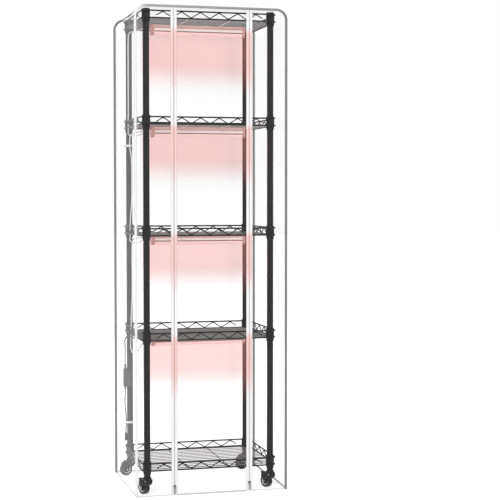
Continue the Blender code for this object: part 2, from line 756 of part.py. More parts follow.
def lamp_middle(tier):
    """The height of the cord exits of a tier's light bar."""
    return LEVELS[tier] + BRACE_TOP - CORD_EXIT_DROP


def lamp_exit(tier, side, rise=0.0):
    """The points that a cord leaves a light bar's left end through, straight at first."""
    face = -LAMP_LENGTH / 2 - FIT
    y = side * CORD_EXIT_OFFSET
    z = lamp_middle(tier)
    straight = [(face - step, y, z) for step in (0.0, CORD_DIAMETER, 2 * CORD_DIAMETER)]
    return [*straight, (face - CORD_BEND_X, y + CORD_BEND_Y, z + rise)]


def make_cords():
    """Link cords between the light bars, the controller's lead and its supply lead, all 5 mm thick."""
    radius = CORD_DIAMETER / 2
    hug = POST_RADIUS + radius + CORD_SLACK
    wide = COLLAR_RADIUS + radius + CORD_SLACK
    shelf_2, shelf_3, shelf_4, shelf_5 = LEVELS[1:]
    routes = {}
    routes["cord_lamp_4_to_3"] = (white_cord, [
        *lamp_exit(4, 1, 0.004),
        (-0.236, 0.140, shelf_5 - 0.043),
        at_post(268, wide + 0.004, shelf_5 - 0.044),
        at_post(253, hug, shelf_5 - 0.070),
        at_post(251, hug, shelf_5 - 0.160),
        at_post(251, hug, shelf_4 + 0.120),
        at_post(251, hug, shelf_4 + 0.045),
        at_post(251, wide, shelf_4 + 0.014),
        at_post(251, wide, shelf_4 - 0.038),
        at_post(262, wide + 0.010, shelf_4 - 0.056),
        (-0.234, 0.110, shelf_4 - 0.062),
        *reversed(lamp_exit(3, 1, -0.006)),
    ])
    routes["cord_lamp_3_to_2"] = (white_cord, [
        *lamp_exit(3, -1, 0.003),
        (-0.238, 0.120, shelf_4 - 0.050),
        at_post(275, wide + 0.003, shelf_4 - 0.056),
        at_post(270, hug, UPPER_TIE_HEIGHT + 2 * TIE_WIDTH),
        at_post(270, hug, UPPER_TIE_HEIGHT + TIE_WIDTH),
        at_post(270, hug, UPPER_TIE_HEIGHT - TIE_WIDTH),
        at_post(300, hug, shelf_4 - 0.170),
        at_post(300, hug, shelf_3 + 0.120),
        at_post(280, hug, shelf_3 + 0.045),
        at_post(270, wide, shelf_3 + 0.014),
        at_post(268, wide, shelf_3 - 0.038),
        at_post(268, wide + 0.010, shelf_3 - 0.060),
        (-0.236, 0.110, shelf_3 - 0.066),
        *reversed(lamp_exit(2, 1, -0.006)),
    ])
    routes["cord_lamp_2_to_1"] = (white_cord, [
        *lamp_exit(2, -1, 0.003),
        (-0.230, 0.120, shelf_3 - 0.046),
        at_post(296, wide + 0.003, shelf_3 - 0.058),
        at_post(300, hug, shelf_3 - 0.090),
        at_post(300, hug, shelf_3 - 0.160),
        at_post(300, hug, shelf_2 + 0.120),
        at_post(285, hug, shelf_2 + 0.045),
        at_post(278, wide, shelf_2 + 0.014),
        at_post(274, wide, shelf_2 - 0.038),
        at_post(272, hug + 0.001, shelf_2 - 0.072),
        at_post(274, hug + 0.002, shelf_2 - 0.100),
        at_post(290, wide + 0.008, shelf_2 - 0.118),
        (-0.228, 0.120, shelf_2 - 0.104),
        *reversed(lamp_exit(1, 1, -0.012)),
    ])
    case_top = CONTROLLER_CENTRE_Z + CONTROLLER_HEIGHT / 2
    case_bottom = CONTROLLER_CENTRE_Z - CONTROLLER_HEIGHT / 2
    relief_y = controller_middle_y()
    top_of_relief = case_top + TOP_RELIEF_LENGTH + FIT
    end_of_relief = case_bottom - BOTTOM_RELIEF_LENGTH - FIT
    routes["cord_lamp_1_to_controller"] = (dark_cord, [
        *lamp_exit(1, -1, 0.005),
        (-0.244, 0.090, shelf_2 - 0.050),
        (-0.262, 0.146, shelf_2 - 0.044),
        (RELIEF_X, relief_y + 0.001, shelf_2 - 0.062),
        (RELIEF_X, relief_y, shelf_2 - 0.100),
        (RELIEF_X, relief_y, top_of_relief + 0.020),
        (RELIEF_X, relief_y, top_of_relief),
    ])
    socket_hug = POST_RADIUS + SOCKET_RADIUS + FIT
    routes["cord_supply"] = (dark_cord, [
        (RELIEF_X, relief_y, end_of_relief),
        (RELIEF_X, relief_y, end_of_relief - 0.016),
        (RELIEF_X - 0.001, relief_y + 0.004, end_of_relief - 0.060),
        at_post(200, hug + 0.004, LOWER_TIE_HEIGHT + 0.040),
        at_post(180, hug, LOWER_TIE_HEIGHT + TIE_WIDTH),
        at_post(180, hug, LOWER_TIE_HEIGHT - TIE_WIDTH),
        at_post(SOCKET_ANGLE, socket_hug, SOCKET_TOP + 3 * CORD_DIAMETER),
        at_post(SOCKET_ANGLE, socket_hug, SOCKET_TOP + 2 * CORD_DIAMETER),
        at_post(SOCKET_ANGLE, socket_hug, SOCKET_TOP + FIT),
    ])
    for name, (finish, route) in routes.items():
        points = smooth_route(route, CORD_TURN, CORD_STRETCH)
        add(name, smooth(tube(points, radius, 2), 60), finish)
    socket_x, socket_y, _ = at_post(SOCKET_ANGLE, socket_hug, 0.0)
    socket_end = SOCKET_TOP - SOCKET_LENGTH
    socket = turned([
        (0.0, SOCKET_TOP),
        (radius + SOCKET_NECK, SOCKET_TOP),
        (SOCKET_RADIUS, SOCKET_TOP - SOCKET_TAPER),
        (SOCKET_RADIUS, socket_end),
        (SOCKET_BORE, socket_end),
        (SOCKET_BORE, socket_end + SOCKET_BORE_DEPTH),
        (0.0, socket_end + SOCKET_BORE_DEPTH),
    ])
    add("supply_socket", smooth(socket), black_plastic).location = (socket_x, socket_y, 0.0)
    for name, height in (("cord_tie_upper", UPPER_TIE_HEIGHT), ("cord_tie_lower", LOWER_TIE_HEIGHT)):
        inner = hug + radius + 2 * FIT
        band = turned([
            (inner + TIE_THICKNESS, height + TIE_WIDTH / 2),
            (inner + TIE_THICKNESS, height - TIE_WIDTH / 2),
            (inner, height - TIE_WIDTH / 2),
            (inner, height + TIE_WIDTH / 2),
        ], closed=True)
        head_size = (TIE_HEAD_WIDTH, TIE_HEAD_DEPTH, TIE_WIDTH)
        head = box(head_size, (-inner - TIE_THICKNESS - CUT_MARGIN, -TIE_HEAD_DEPTH, height))
        band = smooth(combine(band, head, "UNION"))
        band.transform(Matrix.Translation(at_post(0.0, 0.0, 0.0)))
        add(name, band, white_cord)


def controller_middle_y():
    """The controller's back lies flat against the front of the rear left post."""
    return HALF_Y - POST_RADIUS - FIT - CONTROLLER_DEPTH / 2


def make_controller():
    """The in-line controller with three buttons on its front, on the rear left post."""
    middle_y = controller_middle_y()
    case_obj = add("controller_case", box(
        (CONTROLLER_WIDTH, CONTROLLER_DEPTH, CONTROLLER_HEIGHT), (0.0, 0.0, 0.0)
    ), black_plastic)
    rounding = case_obj.modifiers.new("rounding", "BEVEL")
    rounding.width = CONTROLLER_ROUNDING
    rounding.segments = 1
    case = hold(case_obj)
    case.transform(Matrix.Translation((CONTROLLER_CENTRE_X, middle_y, CONTROLLER_CENTRE_Z)))
    case_top = CONTROLLER_CENTRE_Z + CONTROLLER_HEIGHT / 2
    case_bottom = CONTROLLER_CENTRE_Z - CONTROLLER_HEIGHT / 2
    reliefs = []
    for start, end in (
        (case_top - RELIEF_SINK, case_top + TOP_RELIEF_LENGTH),
        (case_bottom - BOTTOM_RELIEF_LENGTH, case_bottom + RELIEF_SINK),
    ):
        middle = (RELIEF_X, middle_y, (start + end) / 2)
        reliefs.append(cylinder(RELIEF_RADIUS, end - start, middle, sides=PIN_SIDES))
    case = combine(case, merged(reliefs), "UNION")
    front = middle_y - CONTROLLER_DEPTH / 2
    sideways = Matrix.Rotation(math.pi / 2, 4, "X")
    names = ("power", "dim", "timer")
    places = []
    for index, name in enumerate(names):
        places.append((name, CONTROLLER_CENTRE_Z + (1 - index) * BUTTON_SPACING))
    wells = []
    for name, height in places:
        centre = (CONTROLLER_CENTRE_X, front + (WELL_DEPTH - CUT_MARGIN) / 2, height)
        wells.append(cylinder(BUTTON_RADIUS + FIT, WELL_DEPTH + CUT_MARGIN, centre, sideways))
    case = combine(case, merged(wells), "DIFFERENCE")
    add("controller_case", smooth(case), black_plastic)
    for name, height in places:
        centre = (CONTROLLER_CENTRE_X, front - BUTTON_RISE + BUTTON_LENGTH / 2, height)
        button = cylinder(BUTTON_RADIUS, BUTTON_LENGTH, centre, sideways)
        add("controller_button_" + name, smooth(button), dark_cord)


def make_cover():
    """Film panels, piping, zips and door; every seam keeps the fit gap."""
    edge_x = COVER_X
    edge_y = COVER_Y
    panel_y = edge_y - PIPING_CLEARANCE
    shoulder_z = COVER_TOP - SHOULDER_RADIUS
    wall_top = shoulder_z - FIT
    wall_height = wall_top - COVER_HEM_HEIGHT
    for name, side in (("cover_left", -1), ("cover_right", 1)):
        size = (FILM_THICKNESS, 2 * panel_y, wall_height)
        centre = (side * edge_x, 0.0, COVER_HEM_HEIGHT + wall_height / 2)
        add(name, box(size, centre), clear_film)

    shoulder_x = edge_x - SHOULDER_RADIUS
    half = FILM_THICKNESS / 2
    outer = arc((shoulder_x, shoulder_z), SHOULDER_RADIUS + half, 0, 90, SHOULDER_STEPS)
    outer += arc((-shoulder_x, shoulder_z), SHOULDER_RADIUS + half, 90, 180, SHOULDER_STEPS)
    inner = arc((-shoulder_x, shoulder_z), SHOULDER_RADIUS - half, 180, 90, SHOULDER_STEPS)
    inner += arc((shoulder_x, shoulder_z), SHOULDER_RADIUS - half, 90, 0, SHOULDER_STEPS)
    add("cover_top", smooth(plate(outer + inner, 2 * panel_y, "XZ")), clear_film)

    corner_x = edge_x - PIPING_CORNER
    corner_z = PIPING_TOP - PIPING_CORNER
    arch = [(edge_x, COVER_HEM_HEIGHT)] + arc((corner_x, corner_z), PIPING_CORNER, 0, 90, PIPING_STEPS)
    arch += arc((-corner_x, corner_z), PIPING_CORNER, 90, 180, PIPING_STEPS) + [(-edge_x, COVER_HEM_HEIGHT)]
    for name, y in (("cover_piping_front", -edge_y), ("cover_piping_rear", edge_y)):
        add(name, smooth(tube([(x, y, z) for x, z in arch], PIPING_RADIUS, 1), 60), grey_piping)

    face_x = edge_x - PIPING_CLEARANCE
    face_top = PIPING_TOP - PIPING_CLEARANCE
    face_corner = PIPING_CORNER - PIPING_CLEARANCE
    right_arc = arc((corner_x, corner_z), face_corner, 0, 90, PIPING_STEPS)
    left_arc = arc((-corner_x, corner_z), face_corner, 90, 180, PIPING_STEPS)
    rear = [(-face_x, COVER_HEM_HEIGHT), (face_x, COVER_HEM_HEIGHT)] + right_arc + left_arc
    add("cover_rear", plate(rear, FILM_THICKNESS, "XZ", edge_y), clear_film)

    tape_edge = ZIP_POSITION + FIT / 2 + ZIP_TAPE_WIDTH
    strip_edge = tape_edge + FIT
    right_strip = [(strip_edge, COVER_HEM_HEIGHT), (face_x, COVER_HEM_HEIGHT)] + right_arc + [(strip_edge, face_top)]
    left_strip = [(-face_x, COVER_HEM_HEIGHT), (-strip_edge, COVER_HEM_HEIGHT), (-strip_edge, face_top)] + left_arc
    add("cover_front_right", plate(right_strip, FILM_THICKNESS, "XZ", -edge_y), clear_film)
    add("cover_front_left", plate(left_strip, FILM_THICKNESS, "XZ", -edge_y), clear_film)

    for name, side in (("zip_tape_left", -1), ("zip_tape_right", 1)):
        size = (ZIP_TAPE_WIDTH, ZIP_TAPE_THICKNESS, face_top - COVER_HEM_HEIGHT)
        middle = side * (ZIP_POSITION + FIT / 2 + ZIP_TAPE_WIDTH / 2)
        centre = (middle, -edge_y, (face_top + COVER_HEM_HEIGHT) / 2)
        add(name, box(size, centre), white_tape)

    door_edge = ZIP_POSITION - FIT / 2
    tape_inner = door_edge - ZIP_TAPE_WIDTH
    tape = ZIP_TAPE_THICKNESS / 2
    section = [
        (-door_edge, -tape), (-tape_inner, -tape), (-tape_inner, -half), (tape_inner, -half),
        (tape_inner, -tape), (door_edge, -tape), (door_edge, tape), (tape_inner, tape),
        (tape_inner, half), (-tape_inner, half), (-tape_inner, tape), (-door_edge, tape),
    ]
    door_bottom = COVER_HEM_HEIGHT + DOOR_HEM_HEIGHT + FIT
    door_height = face_top - door_bottom
    door = plate(section, door_height, "XY", door_bottom + door_height / 2)
    door.transform(Matrix.Translation((0.0, -edge_y, 0.0)))
    add("door_panel", door, clear_film)
    hem_size = (2 * door_edge, DOOR_HEM_THICKNESS, DOOR_HEM_HEIGHT)
    hem_centre = (0.0, -edge_y, COVER_HEM_HEIGHT + DOOR_HEM_HEIGHT / 2)
    add("door_hem", box(hem_size, hem_centre), clear_film)

    slider_back = -edge_y - max(DOOR_HEM_THICKNESS, ZIP_TAPE_THICKNESS) / 2 - FIT
    slider_y = slider_back - SLIDER_THICKNESS / 2
    lug_y = slider_back - SLIDER_THICKNESS
    pivot_y = lug_y - EYE_RISE
    top = SLIDER_HEIGHT / 2
    end_half = SLIDER_END_WIDTH / 2
    wide_half = SLIDER_WIDTH / 2
    slider_outline = [
        (-end_half, -top), (end_half, -top), (wide_half, SLIDER_SHOULDER),
        (end_half, top), (-end_half, top), (-wide_half, SLIDER_SHOULDER),
    ]
    pull_half = PULL_WIDTH / 2
    pull_end = pull_half - PULL_LENGTH
    pull_outline = [(-pull_half, PULL_BAR / 2), (-pull_half, pull_end)]
    pull_outline += arc((0.0, pull_end), pull_half, 180, 360, PULL_END_STEPS)[1:]
    pull_outline += [(pull_half, PULL_BAR / 2)]
    lug_depth = LUG_RISE + LUG_SINK
    for name, side in (("left", -1), ("right", 1)):
        place = Matrix.Translation((side * ZIP_POSITION, 0.0, SLIDER_HEIGHT_ABOVE_FLOOR))
        body = plate(slider_outline, SLIDER_THICKNESS, "XZ", slider_y)
        lug = box((LUG_WIDTH, lug_depth, LUG_HEIGHT), (0.0, lug_y + LUG_SINK - lug_depth / 2, 0.0))
        body = combine(body, lug, "UNION")
        eye = box((2 * LUG_WIDTH, EYE_SIZE, EYE_SIZE), (0.0, pivot_y, 0.0))
        body = combine(body, eye, "DIFFERENCE")
        body.transform(place)
        add("zip_slider_" + name, smooth(body), zip_metal)
        pull = plate(pull_outline, PULL_THICKNESS, "XZ", pivot_y)
        window_size = (PULL_WIDTH - 2 * PULL_RIM, 2 * PULL_THICKNESS, PULL_WINDOW)
        window = box(window_size, (0.0, pivot_y, -(PULL_BAR + PULL_WINDOW) / 2))
        pull = combine(pull, window, "DIFFERENCE")
        pull.transform(place)
        add("zip_pull_" + name, smooth(pull), zip_metal)


make_posts()
make_shelves()
make_casters()
make_lamps()
make_cords()
make_controller()
make_cover()
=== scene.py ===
import math

import bmesh
import bpy
from mathutils import Matrix, Vector, noise


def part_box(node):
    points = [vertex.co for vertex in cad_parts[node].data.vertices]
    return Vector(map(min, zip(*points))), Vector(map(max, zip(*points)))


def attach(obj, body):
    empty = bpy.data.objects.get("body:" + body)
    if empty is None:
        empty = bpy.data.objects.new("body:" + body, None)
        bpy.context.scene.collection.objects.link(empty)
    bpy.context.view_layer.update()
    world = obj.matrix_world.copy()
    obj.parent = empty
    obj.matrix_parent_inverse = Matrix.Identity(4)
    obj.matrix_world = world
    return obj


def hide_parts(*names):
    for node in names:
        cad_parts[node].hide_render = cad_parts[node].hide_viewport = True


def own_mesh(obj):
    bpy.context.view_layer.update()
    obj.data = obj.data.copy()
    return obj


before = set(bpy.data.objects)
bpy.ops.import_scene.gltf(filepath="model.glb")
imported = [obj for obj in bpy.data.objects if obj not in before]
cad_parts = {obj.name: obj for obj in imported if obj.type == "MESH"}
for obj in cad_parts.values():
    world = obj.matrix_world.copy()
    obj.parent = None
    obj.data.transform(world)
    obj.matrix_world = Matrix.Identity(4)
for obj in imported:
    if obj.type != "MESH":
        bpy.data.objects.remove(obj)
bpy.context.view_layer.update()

# Looks of the indoor greenhouse: a wire rack with grow lights under a clear zip-up cover.
# Metres, +Z up, door towards -Y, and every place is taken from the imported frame.
corners = ("front_left", "front_right", "rear_left", "rear_right")
print("frame loaded")


# Small tools

def hexColour(code):
    channels = [int(code[start:start + 2], 16) / 255 for start in (0, 2, 4)]
    return [c / 12.92 if c <= 0.04045 else ((c + 0.055) / 1.055) ** 2.4 for c in channels] + [1.0]


def feed(tree, node, inputs):
    # a socket takes a link, a value or a colour's hex code
    for socket, value in inputs.items():
        if isinstance(value, bpy.types.NodeSocket):
            tree.links.new(value, node.inputs[socket])
        else:
            node.inputs[socket].default_value = hexColour(value) if isinstance(value, str) else value


def addNode(tree, kind, inputs=None, **settings):
    node = tree.nodes.new(kind)
    for name, value in settings.items():
        setattr(node, name, value)
    feed(tree, node, inputs or {})
    return node


def middleOf(node):
    low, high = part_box(node)
    return (low + high) / 2


def finishMesh(shape):
    bmesh.ops.remove_doubles(shape, verts=shape.verts, dist=0.000002)
    bmesh.ops.recalc_face_normals(shape, faces=shape.faces)
    mesh = bpy.data.meshes.new("shape")
    shape.to_mesh(mesh)
    shape.free()
    return mesh


def bake(data, *modifiers):
    # the evaluated mesh of a curve or a mesh, with modifiers given as (kind, settings)
    obj = bpy.data.objects.new("work", data)
    bpy.context.scene.collection.objects.link(obj)
    for kind, settings in modifiers:
        modifier = obj.modifiers.new(kind.lower(), kind)
        for name, value in settings.items():
            setattr(modifier, name, value)
    bpy.context.view_layer.update()
    graph = bpy.context.evaluated_depsgraph_get()
    mesh = bpy.data.meshes.new_from_object(obj.evaluated_get(graph))
    bpy.data.objects.remove(obj, do_unlink=True)
    return mesh


def softened(mesh, width, segments=2):
    return bake(mesh, ("BEVEL", {"width": width, "segments": segments, "limit_method": "ANGLE"}))


def cut(base, tool):
    other = bpy.data.objects.new("tool", tool)
    bpy.context.scene.collection.objects.link(other)
    mesh = bake(base, ("BOOLEAN", {"operation": "DIFFERENCE", "solver": "EXACT", "object": other}))
    bpy.data.objects.remove(other, do_unlink=True)
    return mesh


def joined(*meshes, finish=None):
    # one mesh from several; finish gives each one's material number
    shape = bmesh.new()
    for index, mesh in enumerate(meshes):
        before = len(shape.faces)
        shape.from_mesh(mesh)
        shape.faces.ensure_lookup_table()
        for face in shape.faces[before:]:
            face.material_index = finish[index] if finish else 0
    result = bpy.data.meshes.new("joined")
    shape.to_mesh(result)
    shape.free()
    return result


def moved(mesh, *matrices):
    result = mesh.copy()
    for matrix in matrices:
        result.transform(matrix)
    return result


def turned(mesh, degrees, axis, spot):
    # turned about a world axis, then put at a spot
    return moved(mesh, Matrix.Rotation(math.radians(degrees), 4, axis), Matrix.Translation(spot))


def lathe(profile, sides=48):
    # (radius, height) points turned round Z
    shape = bmesh.new()
    ring = [shape.verts.new((radius, 0.0, height)) for radius, height in profile]
    edges = [shape.edges.new(pair) for pair in zip(ring, ring[1:])]
    bmesh.ops.spin(
        shape, geom=ring + edges, axis=(0, 0, 1), cent=(0, 0, 0), angle=math.tau, steps=sides, use_merge=True
    )
    return finishMesh(shape)


def cylinder(radius, low, high, sides):
    return lathe([(0, low), (radius, low), (radius, high), (0, high)], sides)


def tube(bore, profile, sides=48):
    # a ring with a bore, its outside given from one end to the other
    loop = [(bore, profile[0][1]), *profile, (bore, profile[-1][1])]
    return lathe(loop + loop[:1], sides)


def oblong(left, right, low, high):
    return [(left, low), (right, low), (right, high), (left, high)]


def bothSides(half):
    # an outline from the half on the right
    return [*half, *[(-across, up) for across, up in reversed(half)]]


def extruded(outline, low, high, plane="XY"):
    # an outline in the named plane, from low to high along the third axis
    order = {"XY": (0, 1, 2), "YZ": (2, 0, 1), "XZ": (0, 2, 1)}[plane]
    shape = bmesh.new()
    face = shape.faces.new([shape.verts.new(Vector((a, b, low))[:]) for a, b in outline])
    grown = bmesh.ops.extrude_face_region(shape, geom=[face])["geom"]
    raised = [item for item in grown if isinstance(item, bmesh.types.BMVert)]
    bmesh.ops.translate(shape, verts=raised, vec=(0, 0, high - low))
    for vert in shape.verts:
        vert.co = Vector([vert.co[index] for index in order])
    return finishMesh(shape)


def roundedBox(size, centre, rounding, segments=3):
    shape = bmesh.new()
    bmesh.ops.create_cube(shape, size=1.0)
    bmesh.ops.scale(shape, verts=shape.verts, vec=size)
    bmesh.ops.bevel(
        shape, geom=shape.edges[:], offset=rounding, segments=segments,
        profile=0.5, affect="EDGES", clamp_overlap=True
    )
    bmesh.ops.translate(shape, verts=shape.verts, vec=centre)
    return finishMesh(shape)


def arc(centre, radius, start, end, steps):
    places = []
    for step in range(steps + 1):
        angle = math.radians(start + (end - start) * step / steps)
        places.append((centre[0] + radius * math.cos(angle), centre[1] + radius * math.sin(angle)))
    return places


def bentAt(points, reach, closed=False, steps=5):
    # a polyline whose corners are bent round, each starting `reach` before its corner
    places = [Vector(point) for point in points]
    result = []
    for index, here in enumerate(places):
        if not closed and index in (0, len(places) - 1):
            result.append(here)
            continue
        before, after = places[index - 1], places[(index + 1) % len(places)]
        start = here + (before - here).normalized() * reach
        end = here + (after - here).normalized() * reach
        for step in range(steps + 1):
            t = step / steps
            result.append(start * (1 - t) ** 2 + here * 2 * t * (1 - t) + end * t ** 2)
    return result


def wires(routes, radius, closed=False, fineness=2):
    curve = bpy.data.curves.new("wire", "CURVE")
    curve.dimensions = "3D"
    curve.bevel_depth = radius
    curve.bevel_resolution = fineness
    curve.use_fill_caps = True
    for route in routes:
        spline = curve.splines.new("POLY")
        spline.points.add(len(route) - 1)
        for point, place in zip(spline.points, route):
            point.co = (*place, 1.0)
        spline.use_cyclic_u = closed
    shape = bmesh.new()
    shape.from_mesh(bake(curve))
    return finishMesh(shape)


def addPiece(name, mesh, finish, body, *nodes, at=(0.0, 0.0, 0.0), crease=32):
    # one shown piece on its CAD body, standing in for the named nodes
    finish = finish if isinstance(finish, list) else [finish]
    if not mesh.materials:
        for material in finish:
            mesh.materials.append(material)
    mesh.shade_smooth()
    mesh.set_sharp_from_angle(angle=math.radians(crease))
    piece = bpy.data.objects.new(name, mesh)
    piece.location = at
    bpy.context.scene.collection.objects.link(piece)
    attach(piece, body)
    if nodes:
        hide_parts(*nodes)
    return piece


# Camera and light

photoView = {
    "place": (-1.2017, -5.3163, 1.1775),
    "turnedRight": 14.946,      # degrees from +Y
    "lookingDown": 2.364,
    "focalPixels": 1343.8,      # for a picture 500 pixels wide
    "pictureWidth": 500,
    "axisAboveMiddle": 2.2,     # pixels
    "filmWidth": 36.0,          # millimetres
}


def addCamera():
    lens = bpy.data.cameras.new("photoCamera")
    lens.sensor_width = photoView["filmWidth"]
    lens.lens = photoView["focalPixels"] / photoView["pictureWidth"] * photoView["filmWidth"]
    lens.shift_y = -photoView["axisAboveMiddle"] / photoView["pictureWidth"]
    camera = bpy.data.objects.new("photoCamera", lens)
    camera.location = photoView["place"]
    tilt = math.radians(90 - photoView["lookingDown"])
    camera.rotation_euler = (tilt, 0.0, -math.radians(photoView["turnedRight"]))
    bpy.context.scene.collection.objects.link(camera)
    bpy.context.scene.camera = camera


studio = {
    "ambient": 0.50,            # world strength for everything but the eye and reflections
    "floorGlow": 0.48,
    "floorSize": 60.0,
    "keyFrom": (-0.55, -0.80, 0.62),
    "keyStrength": 1.55,
    "keySoftness": 28.0,        # degrees across
    "fillPlace": (3.6, -3.4, 2.2),
    "fillPower": 45.0,
    "fillSize": 2.6,
    "backPlace": (0.6, 4.2, 3.4),
    "backPower": 50.0,
    "backSize": 2.6,
    "target": (0.0, 0.0, 0.95),
}


def seenDirectly(tree):
    # 1 for the eye, for reflections and for what shows through clear material
    path = addNode(tree, "ShaderNodeLightPath")
    seen = path.outputs["Is Camera Ray"]
    for ray in ("Is Glossy Ray", "Is Transmission Ray"):
        other = {0: seen, 1: path.outputs[ray]}
        seen = addNode(tree, "ShaderNodeMath", other, operation="MAXIMUM").outputs[0]
    return seen


def addLight(name, lamp, place, target):
    holder = bpy.data.objects.new(name, lamp)
    holder.location = place
    holder.rotation_euler = (Vector(target) - holder.location).to_track_quat("-Z", "Y").to_euler()
    bpy.context.scene.collection.objects.link(holder)


def addStudio():
    world = bpy.data.worlds.new("whiteStudio")
    bpy.context.scene.world = world
    world.use_nodes = True
    tree = world.node_tree
    level = addNode(
        tree, "ShaderNodeMath",
        {0: seenDirectly(tree), 1: 1.0 - studio["ambient"], 2: studio["ambient"]}, operation="MULTIPLY_ADD"
    )
    feed(tree, tree.nodes["Background"], {"Color": "FFFFFF", "Strength": level.outputs[0]})

    bpy.ops.mesh.primitive_grid_add(x_subdivisions=4, y_subdivisions=4, size=studio["floorSize"])
    floor = bpy.context.object
    floor.name = "studioFloor"
    material = bpy.data.materials.new("matt_white_floor")
    material.use_nodes = True
    tree = material.node_tree
    tree.nodes.clear()
    paint = addNode(tree, "ShaderNodeBsdfDiffuse", {"Color": "EFEFEF"})
    lift = addNode(
        tree, "ShaderNodeMath", {0: seenDirectly(tree), 1: studio["floorGlow"]}, operation="MULTIPLY"
    )
    glow = addNode(tree, "ShaderNodeEmission", {"Color": "FFFFFF", "Strength": lift.outputs[0]})
    both = addNode(tree, "ShaderNodeAddShader", {0: paint.outputs[0], 1: glow.outputs[0]})
    addNode(tree, "ShaderNodeOutputMaterial", {"Surface": both.outputs[0]})
    floor.data.materials.append(material)

    key = bpy.data.lights.new("keySun", "SUN")
    key.energy = studio["keyStrength"]
    key.angle = math.radians(studio["keySoftness"])
    addLight("keySun", key, studio["keyFrom"], (0.0, 0.0, 0.0))
    for side in ("fill", "back"):
        lamp = bpy.data.lights.new(side + "Softbox", "AREA")
        lamp.shape = "DISK"
        lamp.size = studio[side + "Size"]
        lamp.energy = studio[side + "Power"]
        addLight(side + "Softbox", lamp, studio[side + "Place"], studio["target"])
    bpy.context.scene.view_settings.view_transform = "Standard"


addCamera()
addStudio()
print("camera and studio made")


# Materials. Each starts from its real stuff; scales are real sizes in millimetres.

def startMaterial(name, slot, look):
    made = bpy.data.materials.new(name)
    made.use_nodes = True
    made["slot"] = slot
    tree = made.node_tree
    shader = tree.nodes["Principled BSDF"]
    feed(tree, shader, {
        "Base Color": look["colour"], "Roughness": look["roughness"],
        "Metallic": look.get("metallic", 0.0), "IOR": look.get("ior", 1.5),
        "Specular IOR Level": look.get("specular", 0.5),
    })
    where = addNode(tree, "ShaderNodeTexCoord").outputs["Object"]
    return made, tree, shader, where


grain = {
    "driftMm": 60,
    "drift": (0.3, 0.7),        # the part of the noise that is used
    "gloss": (-0.05, 0.07),     # what it takes from and adds to the roughness
}


def addNoise(tree, where, millimetres, detail):
    noisy = {"Vector": where, "Scale": 1000 / millimetres, "Detail": detail}
    return addNode(tree, "ShaderNodeTexNoise", noisy).outputs["Fac"]


def addBump(tree, shader, height, strength, distance):
    bump = {"Height": height, "Strength": strength, "Distance": distance}
    feed(tree, shader, {"Normal": addNode(tree, "ShaderNodeBump", bump).outputs[0]})


def addGrain(tree, shader, where, look):
    # fine moulded or sprayed grain in the bump, and a slow drift in colour and gloss
    fine = addNoise(tree, where, look["grainMm"], 3.0)
    addBump(tree, shader, fine, look["bump"], look["grainMm"] / 1000)
    drift = addNoise(tree, where, look.get("driftMm", grain["driftMm"]), 4.0)
    gloss = addNode(tree, "ShaderNodeMapRange", {
        "Value": drift, "From Min": grain["drift"][0], "From Max": grain["drift"][1],
        "To Min": look["roughness"] + grain["gloss"][0], "To Max": look["roughness"] + grain["gloss"][1],
    })
    feed(tree, shader, {"Roughness": gloss.outputs[0]})
    return drift


def mixColours(tree, factor, first, second):
    mix = {0: factor, 6: first, 7: second}
    return addNode(tree, "ShaderNodeMix", mix, data_type="RGBA").outputs[2]


def driftingColour(tree, shader, where, look):
    return mixColours(
        tree, addGrain(tree, shader, where, look), look["colour"], look["tone"]
    )


def makePlain(name, slot, look):
    # sprayed or moulded stuff: grain, and a colour that drifts a little
    made, tree, shader, where = startMaterial(name, slot, look)
    feed(tree, shader, {"Base Color": driftingColour(tree, shader, where, look)})
    return made


# Powder coat on steel: sprayed and baked, satin black with a slight orange peel
coatLook = {
    "colour": "151516", "tone": "1D1D1E", "roughness": 0.42, "grainMm": 1.3, "bump": 0.12,
    "specular": 0.22, "litTint": "845654", "litFacing": (0.25, 0.85),
}
powderCoat = makePlain("powder_coated_steel", "coated_steel", coatLook)
# Moulded polypropylene of casters, sleeves and caps: matt black, fine spark grain
mouldedBlack = makePlain("moulded_polypropylene", "black_plastic", {
    "colour": "131314", "tone": "1A1A1B", "roughness": 0.5, "grainMm": 0.7, "bump": 0.25, "specular": 0.22,
})
# Wheel tread, a harder polypropylene that is slightly greyer from running
wheelBlack = makePlain("wheel_polypropylene", "wheel_plastic", {
    "colour": "161617", "tone": "202021", "roughness": 0.5, "grainMm": 1.1, "bump": 0.3, "driftMm": 12,
    "specular": 0.22,
})
# The recessed ring in the wheel's face: moulded polypropylene painted light grey, a painted highlight where
# the ring catches the light
ringHighlight = makePlain("polypropylene_ring_painted_highlight", "wheel_plastic", {
    "colour": "C4C5C7", "tone": "D4D5D7", "roughness": 0.35, "grainMm": 0.8, "bump": 0.1,
})
# Zinc plate on rivets and pins: bright, slightly rough metal
zincPlate = makePlain("zinc_plated_steel", "zip_metal", {
    "colour": "B9BABC", "tone": "C9CACB", "roughness": 0.28, "metallic": 1.0, "grainMm": 0.5, "bump": 0.1,
})
# ABS of the light bars and their end caps: off-white plastic with painted pink light from the grow lights,
# and on the bars painted shade; the end caps a darker pink
lampAbs = makePlain("moulded_abs", "lamp_plastic", {
    "colour": "E4B8B3", "tone": "EAC2BE", "roughness": 0.38, "grainMm": 0.6, "bump": 0.12, "ior": 1.53,
})
capAbs = makePlain("moulded_abs_end_cap", "lamp_plastic", {
    "colour": "CF9794", "tone": "D6A19E", "roughness": 0.4, "grainMm": 0.6, "bump": 0.12, "ior": 1.53,
})
# The white band between housing and lens, satin, with a faint painted pink light
lampWhite = makePlain("white_abs", "lamp_plastic", {
    "colour": "FFE9E7", "tone": "FFF0EE", "roughness": 0.35, "grainMm": 0.6, "bump": 0.1, "ior": 1.53,
})
